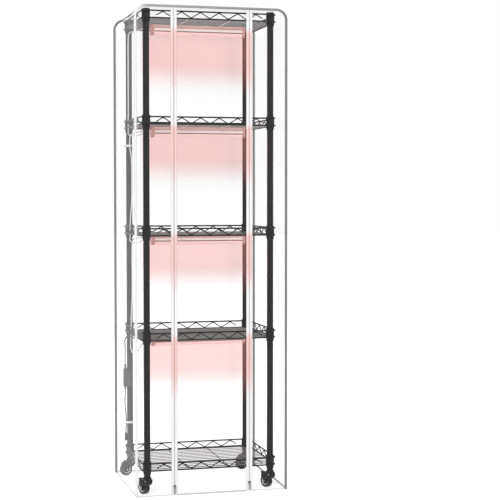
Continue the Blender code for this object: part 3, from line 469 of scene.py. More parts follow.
# Shadowed ledge under the white band: the same plastic, darker because little light gets there
seamAbs = makePlain("abs_in_shadow", "lamp_plastic", {
    "colour": "86625F", "tone": "8E6A67", "roughness": 0.5, "grainMm": 2.0, "bump": 0.1,
})
# PVC jackets of the leads: extruded, softly satin
jacketWhite = makePlain("white_pvc_jacket", "white_jacket", {
    "colour": "E3DEDC", "tone": "EDE8E6", "roughness": 0.45, "grainMm": 2.0, "bump": 0.1, "ior": 1.53,
})
jacketDark = makePlain("dark_pvc_jacket", "dark_jacket", {
    "colour": "2C2C2D", "tone": "363637", "roughness": 0.45, "grainMm": 2.0, "bump": 0.1, "ior": 1.53,
})
# Controller case in matt ABS, and its softer buttons
caseAbs = makePlain("matt_black_abs", "black_plastic", {
    "colour": "252526", "tone": "2C2C2D", "roughness": 0.55, "grainMm": 0.5, "bump": 0.3, "ior": 1.53,
})
buttonRubber = makePlain("button_silicone", "button_plastic", {
    "colour": "4A4A4C", "tone": "535355", "roughness": 0.6, "grainMm": 0.8, "bump": 0.2, "ior": 1.43,
})
# Zinc alloy of sliders and pulls, gun-metal plated
zipMetal = makePlain("gunmetal_zinc_alloy", "zip_metal", {
    "colour": "5A5A5C", "tone": "6C6C6E", "roughness": 0.32, "metallic": 0.9, "grainMm": 0.4, "bump": 0.08,
})
pullMetal = makePlain("plated_zinc_alloy_pull", "zip_metal", {
    "colour": "9A9B9D", "tone": "A8A9AB", "roughness": 0.3, "metallic": 0.9, "grainMm": 0.4, "bump": 0.08,
})


def makeDiffuser():
    # frosted polycarbonate: milky, lit from inside with the pink-white light of the LEDs
    look = {
        "colour": "F7CFCE", "roughness": 0.55, "grainMm": 0.9, "bump": 0.15, "ior": 1.58,
        "light": "FFC9C8", "strength": 0.25,
    }
    made, tree, shader, where = startMaterial("frosted_polycarbonate", "frosted_diffuser", look)
    addGrain(tree, shader, where, look)
    feed(tree, shader, {"Emission Color": look["light"], "Emission Strength": look["strength"]})
    return made


# Painted, not lit: the pink that the grow lights give to what is near them, one zone (low, high) to a tier.
# Those of the front zips are shifted so that they meet the rear ones in the photograph.
litZones = {
    "left": (-0.203, -0.168),   # from no tint to full tint along X
    "right": (0.297, 0.270),
    "soft": {"tiers": 0.012, "frontTiers": 0.034},
    "tiers": ((1.560, 1.836), (1.165, 1.4366), (0.720, 0.9797), (0.270, 0.5454)),
    "frontTiers": ((1.526, 1.785), (1.166, 1.416), (0.760, 0.999), (0.350, 0.603)),
    "fade": 0.58,               # share of each zone's height over which it fades out
}


def smoothStep(tree, value, low, high):
    return addNode(
        tree, "ShaderNodeMapRange", {"Value": value, "From Min": low, "From Max": high},
        interpolation_type="SMOOTHSTEP"
    ).outputs[0]


def calculate(tree, operation, first, second):
    return addNode(tree, "ShaderNodeMath", {0: first, 1: second}, operation=operation).outputs[0]


def product(tree, first, *others):
    for other in others:
        first = calculate(tree, "MULTIPLY", first, other)
    return first


def rest(tree, share):
    return calculate(tree, "SUBTRACT", 1.0, share)


def absolute(tree, value):
    return calculate(tree, "ABSOLUTE", value, 0.0)


def pinkZones(tree, axes, tiers):
    # strongest under each light, fading downwards
    zones = None
    for low, high in litZones[tiers]:
        zone = product(
            tree, smoothStep(tree, axes.outputs["Z"], low, low + (high - low) * litZones["fade"]),
            smoothStep(tree, axes.outputs["Z"], high + litZones["soft"][tiers], high)
        )
        zones = zone if zones is None else calculate(tree, "MAXIMUM", zones, zone)
    across = [smoothStep(tree, axes.outputs["X"], *litZones[side]) for side in ("left", "right")]
    return product(tree, zones, *across)


def tintedPink(tree, where, plain, tinted, share=None, tiers="frontTiers"):
    # a colour that turns to another where the grow lights shine on it
    axes = addNode(tree, "ShaderNodeSeparateXYZ", {0: where})
    glow = pinkZones(tree, axes, tiers)
    if share is not None:
        glow = product(tree, glow, share)
    return mixColours(tree, glow, plain, tinted)


def makeLitCoat():
    # the posts' powder coat, with painted pink light on the sides that face the grow lights
    made, tree, shader, where = startMaterial("powder_coated_post_painted_light", "coated_steel", coatLook)
    plain = driftingColour(tree, shader, where, coatLook)
    place = addNode(tree, "ShaderNodeNewGeometry").outputs
    flat = addNode(
        tree, "ShaderNodeVectorMath", {0: place["Position"], 1: (-1, -1, 0)}, operation="MULTIPLY"
    )
    inward = addNode(tree, "ShaderNodeVectorMath", {0: flat.outputs[0]}, operation="NORMALIZE")
    towards = addNode(
        tree, "ShaderNodeVectorMath", {0: inward.outputs[0], 1: place["Normal"]}, operation="DOT_PRODUCT"
    ).outputs["Value"]
    facing = smoothStep(tree, towards, *coatLook["litFacing"])
    tinted = tintedPink(tree, place["Position"], plain, coatLook["litTint"], facing, "tiers")
    feed(tree, shader, {"Base Color": tinted})
    return made


deckLook = {
    "colour": "4E4C4C", "tone": "5A5757", "roughness": 0.3, "grainMm": 1.3, "bump": 0.1, "specular": 0.6,
    "belowFacing": (0.1, -0.6),     # how far a side looks down, from its plain to its lit colour
}


def makeDeckCoat(name, under):
    # coat of the thin wires of the deck: glossier, greyer than the posts' coat and paler below, the grey and
    # the paleness both painted light from the grow lights
    made, tree, shader, where = startMaterial(name, "coated_steel", deckLook)
    plain = driftingColour(tree, shader, where, deckLook)
    normal = addNode(tree, "ShaderNodeNewGeometry").outputs["Normal"]
    facing = addNode(tree, "ShaderNodeSeparateXYZ", {0: normal}).outputs["Z"]
    below = smoothStep(tree, facing, *deckLook["belowFacing"])
    feed(tree, shader, {"Base Color": mixColours(tree, below, plain, under)})
    return made


filmLook = {
    "colour": "FBFCFC", "roughness": 0.12, "ior": 1.53, "specular": 0.0,
    "haze": 0.008,              # how much the film whitens what is straight behind it
    "mirror": 0.34,             # and how much it reflects at a slant
    "edgeTint": "5C5D5F",       # its colour where it is seen almost edge-on
    "edgeVeil": 0.85,
    "edgeFacing": (0.875, 0.925),
    "edgeFrom": (1.853, 1.860), # the height where the tight shoulders start
    "flatEdge": 0.20,           # share of the edge tint that the flat walls show
    "softEdge": 0.0008,
    "seamWidth": 0.012,
    "seamHaze": 0.10,
    "hemHeight": 0.030,
    "hemHaze": 0.03,
    "lipHeight": 0.0073,
    "lipHaze": 0.55,
    "lipTint": "C4C5C7",
    "shadeHeight": 0.0113,
    "shadeHaze": 0.62,
    "shadeFrom": (0.290, 0.297),
    "stitchInset": 0.0085,
    "stitchHalf": (0.0007, 0.00035),
    "stitchHaze": 0.22,
    "stitchMm": 4.0,
    "stitchGap": (-0.6, -0.2),
    "rippleMm": 90.0,
    "rippleBump": 0.25,
    "rippleDepth": 0.02,
    "glowColour": "F7A8A6",
    "glowHaze": 0.60,
    "glowLight": "564444",      # painted glow, for light that the hazy film scatters from the grow lights
}


def makeFilm(name, lit=False):
    # calendered clear PVC: glassy, with milky welded seams, a stitched edge and a doubled hem
    look = filmLook
    made, tree, shader, where = startMaterial(name, "clear_film", look)
    axes = addNode(tree, "ShaderNodeSeparateXYZ", {0: where})
    x, z = axes.outputs["X"], axes.outputs["Z"]

    def upTo(height):
        return smoothStep(tree, z, height + look["softEdge"], height - look["softEdge"])

    # the tight shoulders turn fully edge-on, the flat walls show only a little of it
    facing = addNode(tree, "ShaderNodeLayerWeight", {"Blend": 0.5}).outputs["Facing"]
    bend = addNode(tree, "ShaderNodeMapRange", {
        "Value": smoothStep(tree, z, *look["edgeFrom"]), "To Min": look["flatEdge"], "To Max": 1.0,
    }).outputs[0]
    edge = product(tree, smoothStep(tree, facing, *look["edgeFacing"]), bend)
    slant = calculate(tree, "POWER", facing, 5.0)
    mirror = product(tree, slant, look["mirror"], rest(tree, edge))
    seam = addNode(tree, "ShaderNodeAttribute", attribute_name="seam").outputs["Fac"]
    width, soft = look["seamWidth"], look["softEdge"]
    # the photograph shows the right wall's lower lip taller and greyer than the others
    shaded = product(tree, upTo(look["shadeHeight"]), smoothStep(tree, x, *look["shadeFrom"]))
    lip = product(tree, upTo(look["lipHeight"]), rest(tree, shaded))
    # dashed thread: a narrow line at the stitch inset, broken by a wave along the edge
    offLine = absolute(tree, calculate(tree, "SUBTRACT", seam, look["stitchInset"]))
    along = product(tree, calculate(tree, "ADD", x, z), math.tau * 1000 / look["stitchMm"])
    wave = calculate(tree, "SINE", along, 0.0)
    thread = product(
        tree, smoothStep(tree, offLine, *look["stitchHalf"]), smoothStep(tree, wave, *look["stitchGap"])
    )
    haze = look["haze"]
    shares = {
        "edgeVeil": edge, "seamHaze": smoothStep(tree, seam, width + soft, width - soft),
        "hemHaze": upTo(look["hemHeight"]), "lipHaze": lip, "shadeHaze": shaded, "stitchHaze": thread,
    }
    colour = mixColours(tree, lip, look["colour"], look["lipTint"])
    grey = calculate(tree, "MAXIMUM", edge, shaded)
    colour = mixColours(tree, grey, colour, look["edgeTint"])
    if lit:
        # painted pink light and painted glow where the grow lights shine on the rear film
        shares["glowHaze"] = pinkZones(tree, axes, "tiers")
        colour = mixColours(tree, shares["glowHaze"], colour, look["glowColour"])
        feed(tree, shader, {"Emission Color": look["glowLight"], "Emission Strength": shares["glowHaze"]})
    for share, mask in shares.items():
        haze = calculate(tree, "ADD", haze, product(tree, mask, look[share]))
    veil = calculate(tree, "ADD", haze, mirror)
    ripples = addNoise(tree, where, look["rippleMm"], 2.0)
    addBump(tree, shader, ripples, look["rippleBump"], look["rippleDepth"])
    feed(tree, shader, {
        "Base Color": colour, "Alpha": veil, "Metallic": calculate(tree, "DIVIDE", mirror, veil),
    })
    return made


pipingLook = {"colour": "A2A3A5", "roughness": 0.3, "grainMm": 3.0, "bump": 0.05, "ior": 1.53}


def makePiping(name, marks, edge):
    # extruded translucent PVC round a cord. marks are (x, colour): painted light and shade that change along
    # x; edge is its colour where it is seen at a slant
    made, tree, shader, where = startMaterial(name, "grey_piping", pipingLook)
    addGrain(tree, shader, where, pipingLook)
    axes = addNode(tree, "ShaderNodeSeparateXYZ", {0: where})
    colour = marks[0][1]
    for (start, _), (end, code) in zip(marks, marks[1:]):
        colour = mixColours(tree, smoothStep(tree, axes.outputs["X"], start, end), colour, code)
    facing = addNode(tree, "ShaderNodeLayerWeight", {"Blend": 0.5}).outputs["Facing"]
    rim = product(tree, facing, facing, edge[1])
    feed(tree, shader, {"Base Color": mixColours(tree, rim, colour, edge[0])})
    return made


zipper = {
    "middle": 0.150,
    "tapeWidth": 0.0122,
    "tapeThickness": 0.0012,
    "gap": 0.00015,
    "tapeRounding": 0.0004,
    "toothPitch": 0.0030,
    "tooth": (0.0024, 0.0022, 0.0019),
    "coilFoot": 0.004,
    "coilTop": 0.002,
    "doorCoilFoot": 0.0015,
    "hemCoilFoot": 0.0055,
    "hemCoilTop": 0.001,
    "hemTop": 0.0323,
    "hemGap": 0.0003,
    "hemThickness": 0.0020,
    "hemRounding": 0.0009,
    "doorTravel": 1.74,
}


def makeTape():
    # polyester zip tape: fine white twill, with painted pink light from the grow lights
    look = {
        "colour": "F6F6F7", "threads": ("F3F3F4", "FDFDFD"), "roughness": 0.75, "ior": 1.5,
        "threadMm": 0.9, "bump": 0.4, "threadRise": 0.0004,
        "selvedge": "D2D2D5", "edge": (0.0098, 0.0108), "litTint": "F3CFCC", "litSelvedge": "D9B6B4",
    }
    made, tree, shader, where = startMaterial("woven_polyester_tape", "white_tape", look)
    weave = addNode(
        tree, "ShaderNodeTexWave", {"Vector": where, "Scale": 1000 / look["threadMm"] / math.tau},
        wave_type="BANDS", bands_direction="DIAGONAL"
    ).outputs["Fac"]
    addBump(tree, shader, weave, look["bump"], look["threadRise"])
    cloth = mixColours(tree, weave, *look["threads"])
    tinted = tintedPink(tree, where, cloth, look["litTint"])
    # the woven edges are thicker and a little darker
    x = addNode(tree, "ShaderNodeSeparateXYZ", {0: where}).outputs["X"]
    fromZip = absolute(tree, calculate(tree, "SUBTRACT", absolute(tree, x), zipper["middle"]))
    rim = smoothStep(tree, fromZip, *look["edge"])
    selvedge = tintedPink(tree, where, look["selvedge"], look["litSelvedge"])
    feed(tree, shader, {"Base Color": mixColours(tree, rim, tinted, selvedge)})
    return made


def makeCoil():
    # nylon coil of the zip: pale grey monofilament, with painted pink light like the tape
    look = {
        "colour": "BDBDC0", "roughness": 0.35, "grainMm": 0.5, "bump": 0.1, "ior": 1.53, "litTint": "CFA6A5",
    }
    made, tree, shader, where = startMaterial("nylon_coil", "white_tape", look)
    addGrain(tree, shader, where, look)
    tinted = tintedPink(tree, where, look["colour"], look["litTint"])
    feed(tree, shader, {"Base Color": tinted})
    return made


diffuserLens = makeDiffuser()
clearFilm = makeFilm("clear_pvc_film")
litFilm = makeFilm("clear_pvc_film_in_pink_light", lit=True)
# front piping: painted light at its left, painted shade towards its right
frontPiping = makePiping("translucent_pvc_piping", (
    (-0.2900, "F1F1F4"), (-0.2500, "A6A7A9"), (0.2500, "909193"), (0.2930, "747577"),
), ("77787A", 0.42))
# rear piping: a darker copy, with painted shade
rearPiping = makePiping("translucent_pvc_piping_behind", (
    (-0.2900, "8A8587"), (0.2500, "A9A9AB"), (0.2930, "8F8F91"),
), ("4E4B4F", 0.8))
zipTape = makeTape()
zipCoil = makeCoil()
litCoat = makeLitCoat()
# deck wires and braces: painted light from the grow lights on their undersides, near white on the braces
deckCoat = makeDeckCoat("coated_wire_painted_light", "A09795")
braceCoat = makeDeckCoat("coated_brace_painted_light", "FBF1EE")
print("materials made")


# Posts and caps

post = {
    "radius": 0.0127,
    "chamfer": 0.0008,
    "grooveSpacing": 0.0254,
    "grooveDepth": 0.0006,
    "grooveHeight": 0.0030,
}
cap = {
    "gap": 0.0003,
    # (radius, height over its seat) from the rim to the crown
    "outline": (
        (0.0, 0.0), (0.0146, 0.0), (0.0150, 0.0005), (0.0144, 0.0013), (0.0118, 0.0021),
        (0.0090, 0.0022), (0.0, 0.0022),
    ),
}


def makePosts():
    low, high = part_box("post_front_left")
    shelfLow = shelfLevel(1)
    radius, deep = post["radius"], post["radius"] - post["grooveDepth"]
    half = post["grooveHeight"] / 2
    first = math.ceil((low.z + half - shelfLow) / post["grooveSpacing"])
    last = math.floor((high.z - half - shelfLow) / post["grooveSpacing"])
    profile = [(0.0, low.z), (radius - post["chamfer"], low.z), (radius, low.z + post["chamfer"])]
    for number in range(first, last + 1):
        z = shelfLow + number * post["grooveSpacing"]
        profile += [(radius, z - half), (deep, z - half / 2), (deep, z + half / 2), (radius, z + half)]
    tubeMesh = lathe(profile + [(radius, high.z), (0.0, high.z)], 32)
    capMesh = lathe([(across, high.z + cap["gap"] + rise) for across, rise in cap["outline"]])
    for corner in corners:
        place = middleOf("post_" + corner)
        foot = (place.x, place.y, 0.0)
        addPiece("grooved_post_" + corner, tubeMesh, litCoat, "frame", "post_" + corner, at=foot)
        addPiece("end_cap_" + corner, capMesh, mouldedBlack, "frame", "post_cap_" + corner, at=foot)


# Wire shelves

wireShelf = {
    "collarRadius": 0.0165,
    "collarRise": 0.0075,
    "collarSkirt": 0.032,
    "collarChamfer": 0.0006,
    "boreRadius": 0.0129,
    # (radius, height) of the sleeve, where it shows below the collar
    "sleeve": ((0.0158, -0.030), (0.0158, -0.033), (0.0142, -0.044), (0.0136, -0.045)),
    "railRadius": 0.0030,
    "railPitch": 0.0275,
    "railWeld": 0.0010,
    "trussRadius": 0.0021,
    "trussPitch": 0.0743,
    "trussPeak": 0.8,           # share of the rail's radius that its bends lie off the rail
    "trussBend": 0.005,
    "trussEnd": 0.7,
    "deckRadius": 0.0018,
    "deckPitch": 0.0300,
    "deckDrop": 0.0264,
    "deckProud": 0.0008,
    "braceRadius": 0.0019,
    "bracePosition": 0.0828,
    "braceDrop": 0.0299,
}


def trussRoute(halfSpan, fixed, alongX):
    pitch, end = wireShelf["trussPitch"], wireShelf["trussEnd"]
    peaks = math.floor((halfSpan - wireShelf["collarRadius"]) / pitch + 0.5)
    first = -(peaks - 0.5) * pitch
    high = -wireShelf["railRadius"] * wireShelf["trussPeak"]
    low = -wireShelf["railPitch"] - high
    stub = pitch / 2 * end
    places = [(first - stub, high + (low - high) * end)]
    for index in range(2 * peaks):
        places.append((first + index * pitch, high))
        if index < 2 * peaks - 1:
            places.append((first + (index + 0.5) * pitch, low))
    places.append((-first + stub, high + (low - high) * end))
    return bentAt([(s, fixed, z) if alongX else (fixed, s, z) for s, z in places], wireShelf["trussBend"])


def shelfMeshes():
    # the welded wires with their collars, and the plastic sleeves that show below the collars
    place = middleOf("post_rear_right")
    shelf = wireShelf
    offset = shelf["collarRadius"] + shelf["railRadius"] - shelf["railWeld"]
    railX, railY = place.x + offset, place.y + offset
    loop = []
    for sideX, sideY, start in ((1, 1, 0), (-1, 1, 90), (-1, -1, 180), (1, -1, 270)):
        loop += arc((sideX * place.x, sideY * place.y), offset, start, start + 90, 8)
    rails = wires(
        [[(x, y, z) for x, y in loop] for z in (0.0, -shelf["railPitch"])],
        shelf["railRadius"], closed=True, fineness=4
    )
    trusses = wires(
        [trussRoute(place.x, side * railY, True) for side in (-1, 1)]
        + [trussRoute(place.y, side * railX, False) for side in (-1, 1)], shelf["trussRadius"]
    )
    gaps = round(2 * railY / shelf["deckPitch"])
    deckEnd = railX + shelf["deckProud"]
    deck = wires([
        [(side * deckEnd, -railY + 2 * railY * index / gaps, -shelf["deckDrop"]) for side in (-1, 1)]
        for index in range(1, gaps)
    ], shelf["deckRadius"])
    braces = wires([
        [(side * shelf["bracePosition"], y, -shelf["braceDrop"]) for y in (-railY, railY)]
        for side in (-1, 1)
    ], shelf["braceRadius"])
    radius, chamfer = shelf["collarRadius"], shelf["collarChamfer"]
    rise, skirt = shelf["collarRise"], -shelf["collarSkirt"]
    collar = tube(shelf["boreRadius"], [
        (radius - chamfer, rise), (radius, rise - chamfer),
        (radius, skirt + chamfer), (radius - chamfer, skirt),
    ])
    sleeve = tube(shelf["boreRadius"], shelf["sleeve"])
    spots = [middleOf("post_" + corner) for corner in corners]
    places = [Matrix.Translation((spot.x, spot.y, 0.0)) for spot in spots]
    collars = [moved(collar, at) for at in places]
    welded = joined(rails, trusses, deck, braces, *collars, finish=[0, 0, 1, 2] + [0] * len(collars))
    return welded, joined(*[moved(sleeve, at) for at in places])


def shelfLevel(number):
    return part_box("shelf_%d" % number)[1].z - wireShelf["collarRise"]


def makeShelves():
    wired, sleeves = shelfMeshes()
    for number in range(1, 6):
        node = "shelf_%d" % number
        level = (0.0, 0.0, shelfLevel(number))
        addPiece("wire_" + node, wired, [powderCoat, deckCoat, braceCoat], "frame", node, at=level)
        addPiece("sleeves_" + node, sleeves, mouldedBlack, "frame", node, at=level)


makePosts()
makeShelves()
print("posts and shelves made")


# Casters

caster = {
    "wheelRadius": 0.025,
    "wheelWidth": 0.022,
    # (radius, inset from the wheel's side) of its hub, painted highlight ring and tread
    "hub": ((0.0033, 0.0010), (0.0075, 0.0010), (0.0085, 0.0020), (0.0093, 0.0031), (0.0130, 0.0031)),
    "ring": ((0.0130, 0.0031), (0.0157, 0.0004)),
    "tread": (
        (0.0157, 0.0004), (0.0165, 0.0), (0.0215, 0.0), (0.023425, 0.0007), (0.02458, 0.001925),
        (0.0250, 0.0035), (0.0250, 0.0110),
    ),
    "trail": 0.020,
    "rounding": 0.0007,
    "hoodTop": 0.060,
    "hoodFront": 0.023,
    "hoodRadius": 0.0285,
    "hoodArc": (62, 48),
    "hoodEdge": 0.034,
    "hoodWall": 0.0022,
    "hoodBack": -0.015,
    "hoodHeel": -0.006,
    "heelRise": 0.002,
    "backEdge": 0.046,
    "sideGap": 0.0010,
    "legRadius": 0.0058,
    # (radius, height) of the stem and the head of the swivel
    "head": (
        (0.0, 0.0937), (0.0044, 0.0937), (0.0050, 0.0929), (0.0050, 0.0697), (0.0115, 0.0697),
        (0.0140, 0.0689), (0.0158, 0.0671), (0.0165, 0.0647), (0.0165, 0.0612), (0.0160, 0.0580),
        (0.0, 0.0580),
    ),
    "axleRadius": 0.0030,
    "axleProud": 0.0002,
    "rodEdge": 0.0005,
    "rivet": ((0.0, 0.0011), (0.0014, 0.0010), (0.0023, 0.0004), (0.0025, -0.0006), (0.0, -0.0006)),
    "rivetPlace": (-0.0045, 0.0535),
    "pedalPivot": (0.028, 0.0545),
    "pinRadius": 0.0025,
    "pedalReach": 0.0495,
    "pedalHalf": 0.0100,
    "pedalThickness": 0.0032,
    "seatLength": 0.03,
    "seatHeight": 0.01,
    "ribSize": (0.0012, 0.012, 0.0008),
    "ribRounding": 0.0003,
    "ribRise": 0.0001,
    "ribs": (0.006, 0.009, 0.012, 0.015),
    "lobeRadius": 0.0025,
    "lobeWidth": 0.010,
    "lobeInset": 0.0045,
    "lobeDrop": 0.0113,
    "webThickness": 0.0028,
    "webWidth": 0.0070,
    "webRounding": 0.0006,
    "fit": 0.0003,
    "toolReach": 0.001,
}


def rod(radius, length, x, z, sides=32):
    half, edge = length / 2, min(caster["rodEdge"], radius / 4)
    profile = [
        (0, -half), (radius - edge, -half), (radius, -half + edge),
        (radius, half - edge), (radius - edge, half), (0, half),
    ]
    return turned(lathe(profile, sides), 90, "X", (x, 0.0, z))


def wheelMesh():
    half = caster["wheelWidth"] / 2
    parts, finish = [], []
    for name, number in (("hub", 0), ("ring", 1), ("tread", 0)):
        for sign in (1, -1):
            parts.append(lathe([(radius, sign * (half - inset)) for radius, inset in caster[name]], 64))
            finish.append(number)
    radius, inset = caster["hub"][0]
    bore = lathe([(radius, half - inset), (radius, inset - half)], 64)
    shape = bmesh.new()
    shape.from_mesh(joined(*parts, bore, finish=finish + [0]))
    return turned(finishMesh(shape), 90, "X", (0.0, 0.0, 0.0))


def forkMesh(withPedal):
    c = caster
    axle = (c["trail"], c["wheelRadius"])
    outline = [(c["hoodBack"], c["hoodTop"]), (c["hoodFront"], c["hoodTop"])]
    outline += arc(axle, c["hoodRadius"], *c["hoodArc"], 4)
    outline += [(c["trail"] + c["legRadius"], c["hoodEdge"])]
    outline += arc(axle, c["legRadius"], 0, -180, 16)
    outline += [
        (c["trail"] - c["legRadius"], c["hoodEdge"]), (c["hoodHeel"], c["hoodEdge"] + c["heelRise"]),
        (c["hoodBack"], c["backEdge"]),
    ]
    inner = c["wheelWidth"] / 2 + c["sideGap"]
    outer = inner + c["hoodWall"]
    space = cylinder(c["hoodRadius"] - c["hoodWall"], -inner, inner, 96)
    hood = cut(extruded(outline, -outer, outer, "XZ"), turned(space, 90, "X", (axle[0], 0.0, axle[1])))
    if withPedal:
        x, z = c["pedalPivot"]
        reach = outer + c["toolReach"]
        groove = cylinder(c["pinRadius"] + c["fit"], -reach, reach, 32)
        hood = cut(hood, turned(groove, 90, "X", (x, 0.0, z)))
        start, floor = x - c["pinRadius"] - 2 * c["fit"], z + c["pinRadius"] / 2 - c["fit"]
        seat = oblong(start, start + c["seatLength"], floor, floor + c["seatHeight"])
        hood = cut(hood, extruded(seat, -reach, reach, "XZ"))
    pins = rod(c["axleRadius"], 2 * (outer + c["axleProud"]), *axle)
    rivet = lathe(c["rivet"], 24)
    x, z = c["rivetPlace"]
    rivets = [turned(rivet, -sign * 90, "X", (x, sign * outer, z)) for sign in (-1, 1)]
    return joined(
        softened(hood, c["rounding"], 2), lathe(c["head"]), pins, *rivets, finish=[0, 0, 1, 1, 1]
    )


def pedalMesh():
    c = caster
    pivotX, pivotZ = c["pedalPivot"]
    start, nose = pivotX - c["pinRadius"], c["pedalReach"] - c["pedalHalf"]
    low = pivotZ + c["pinRadius"] / 2
    high = low + c["pedalThickness"]
    outline = [(start, c["pedalHalf"]), (start, -c["pedalHalf"])]
    outline += arc((nose, 0.0), c["pedalHalf"], -90, 90, 24)
    tread = softened(extruded(outline, low, high), c["rounding"], 3)
    ribs = [
        roundedBox(c["ribSize"], (pivotX + along, 0.0, high + c["ribRise"]), c["ribRounding"])
        for along in c["ribs"]
    ]
    outer = c["wheelWidth"] / 2 + c["sideGap"] + c["hoodWall"]
    pin = rod(c["pinRadius"], 2 * outer, pivotX, pivotZ)
    lobeX, lobeZ = c["pedalReach"] - c["lobeInset"], low - c["lobeDrop"]
    lobe = rod(c["lobeRadius"], c["lobeWidth"], lobeX, lobeZ)
    webTop = low + c["pedalThickness"] / 2
    webSize = (c["webThickness"], c["webWidth"], webTop - lobeZ)
    web = roundedBox(webSize, (lobeX, 0.0, (webTop + lobeZ) / 2), c["webRounding"])
    return joined(tread, *ribs, pin, lobe, web)


def makeCasters():
    wheel, pedal = wheelMesh(), pedalMesh()
    forks = {"front": forkMesh(True), "rear": forkMesh(False)}
    forkFinish, wheelFinish = [mouldedBlack, zincPlate], [wheelBlack, ringHighlight]
    toAxle = Matrix.Translation((caster["trail"], 0.0, caster["wheelRadius"]))
    for corner in corners:
        foot, hub = middleOf("post_" + corner), middleOf("caster_wheel_" + corner)
        angle = math.atan2(hub.y - foot.y, hub.x - foot.x)
        turn = Matrix.Translation((foot.x, foot.y, 0.0)) @ Matrix.Rotation(angle, 4, "Z")
        fork, tyre = moved(forks[corner.split("_")[0]], turn), moved(wheel, toAxle, turn)
        addPiece("swivel_fork_" + corner, fork, forkFinish, "caster_" + corner, "caster_fork_" + corner)
        addPiece("wheel_" + corner, tyre, wheelFinish, "wheel_" + corner, "caster_wheel_" + corner)
        if corner.startswith("front"):
            lever = moved(pedal, turn)
            addPiece("pedal_" + corner, lever, mouldedBlack, "pedal_" + corner, "brake_pedal_" + corner)


makeCasters()
print("casters made")


# Grow lights

lamp = {
    "length": 0.386,
    "width": 0.036,
    "height": 0.043,
    "channel": 0.0125,
    "shoulder": 0.004,
    "overlap": 0.0005,
    "boardHalf": 0.007,
    "boardBottom": 0.0156,
    "capLength": 0.011,
    "capProud": 0.001,
    "capRounding": 0.015,
    "capChamfer": 0.003,
    "capEdge": 0.0008,
    # (distance from the middle, height) of the white band on either side
    "band": (
        (0.0153, -0.0129), (0.0169, -0.0129), (0.0174, -0.0137),
        (0.0174, -0.0261), (0.0167, -0.0265), (0.0153, -0.0265),
    ),
    "lensHalf": 0.0165,
    "lensRounding": 0.014,
    "lensRise": 0.001,
    "lensRim": 0.0271,
    "lensWall": 0.0013,
    "endGap": 0.0003,
    "grooveWidth": 0.0042,
    "grooveDepth": 0.0037,
    "toolReach": 0.01,
    "ledges": ((-0.0146, -0.0120, 0.0184), (-0.0285, -0.0246, 0.0179)),     # low, high, how far out
    "ledgeDepth": 0.0024,
    "ledgeRounding": 0.0005,
    "exitOffset": 0.0090,
    "exitDrop": 0.0194,
    "exitBore": 0.0026,
    "exit": ((0.0040, -0.0030), (0.0040, -0.0002), (0.0034, 0.0004)),
}


def barMeshes():
    top, half, shoulder = -lamp["capProud"], lamp["width"] / 2, lamp["shoulder"]
    between = lamp["length"] / 2 - lamp["capLength"]
    inset = between - lamp["endGap"]
    channel = arc((half - shoulder, top - shoulder), shoulder, 90, 0, 6) + [(half, -lamp["channel"])]
    end = between + lamp["overlap"]
    body = extruded(bothSides(channel), -end, end, "YZ")
    tool = lamp["toolReach"]
    profile = oblong(-half - tool, half + tool, -lamp["grooveDepth"], tool)
    grooves = []
    for side in (-1, 1):
        x, reach = side * wireShelf["bracePosition"], lamp["grooveWidth"] / 2
        grooves.append(extruded(profile, x - reach, x + reach, "YZ"))
    body = cut(body, joined(*grooves))
    board = oblong(-lamp["boardHalf"], lamp["boardHalf"], -lamp["boardBottom"], -lamp["channel"])
    board = extruded(board, -between, between, "YZ")

    capHalf = half + lamp["capProud"]
    rounding, chamfer = lamp["capRounding"], lamp["capChamfer"]
    side = [(capHalf, -chamfer)]
    side += arc((capHalf - rounding, rounding - lamp["height"]), rounding, 0, -90, 12)
    outline = bothSides(side)[::-1] + [(capHalf - chamfer, 0.0), (chamfer - capHalf, 0.0)]
    caps = [
        softened(extruded(outline, start, start + lamp["capLength"], "YZ"), lamp["capEdge"], 2)
        for start in (-lamp["length"] / 2, between)
    ]
    band = [
        extruded([(side * across, up) for across, up in lamp["band"]], -inset, inset, "YZ")
        for side in (-1, 1)
    ]
    lens, rounding = lamp["lensHalf"], lamp["lensRounding"]
    centre = (lens - rounding, lamp["lensRise"] - lamp["height"] + rounding)
    outside, inside = [
        bothSides([(lens - wall, -lamp["lensRim"])] + arc(centre, rounding - wall, 0, -90, 14))
        for wall in (0.0, lamp["lensWall"])
    ]
    lensMesh = extruded(outside + inside[::-1], -inset, inset, "YZ")
    ledges = []
    for low, high, out in lamp["ledges"]:
        for side in (-1, 1):
            middle = (0, side * (out - lamp["ledgeDepth"] / 2), (low + high) / 2)
            size = (2 * inset, lamp["ledgeDepth"], high - low)
            ledges.append(roundedBox(size, middle, lamp["ledgeRounding"], 2))
    grommet = tube(lamp["exitBore"], lamp["exit"], 24)
    exits = [
        turned(grommet, -90, "Y", (-lamp["length"] / 2, side * lamp["exitOffset"], -lamp["exitDrop"]))
        for side in (-1, 1)
    ]
    bar = joined(body, board, *caps, *band, *ledges, *exits, finish=[0, 0, 1, 1, 2, 2, 1, 1, 4, 4, 3, 3])
    return bar, lensMesh


def makeLamps():
    bar, lens = barMeshes()
    finish = [lampAbs, capAbs, lampWhite, jacketWhite, seamAbs]
    for tier in range(1, 5):
        level = (0.0, 0.0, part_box("lamp_housing_%d" % tier)[1].z)
        addPiece("light_bar_%d" % tier, bar, finish, "frame", "lamp_housing_%d" % tier, at=level)
        addPiece("light_lens_%d" % tier, lens, diffuserLens, "frame", "lamp_diffuser_%d" % tier, at=level)


makeLamps()
print("grow lights made")


# Wiring on the rear left post

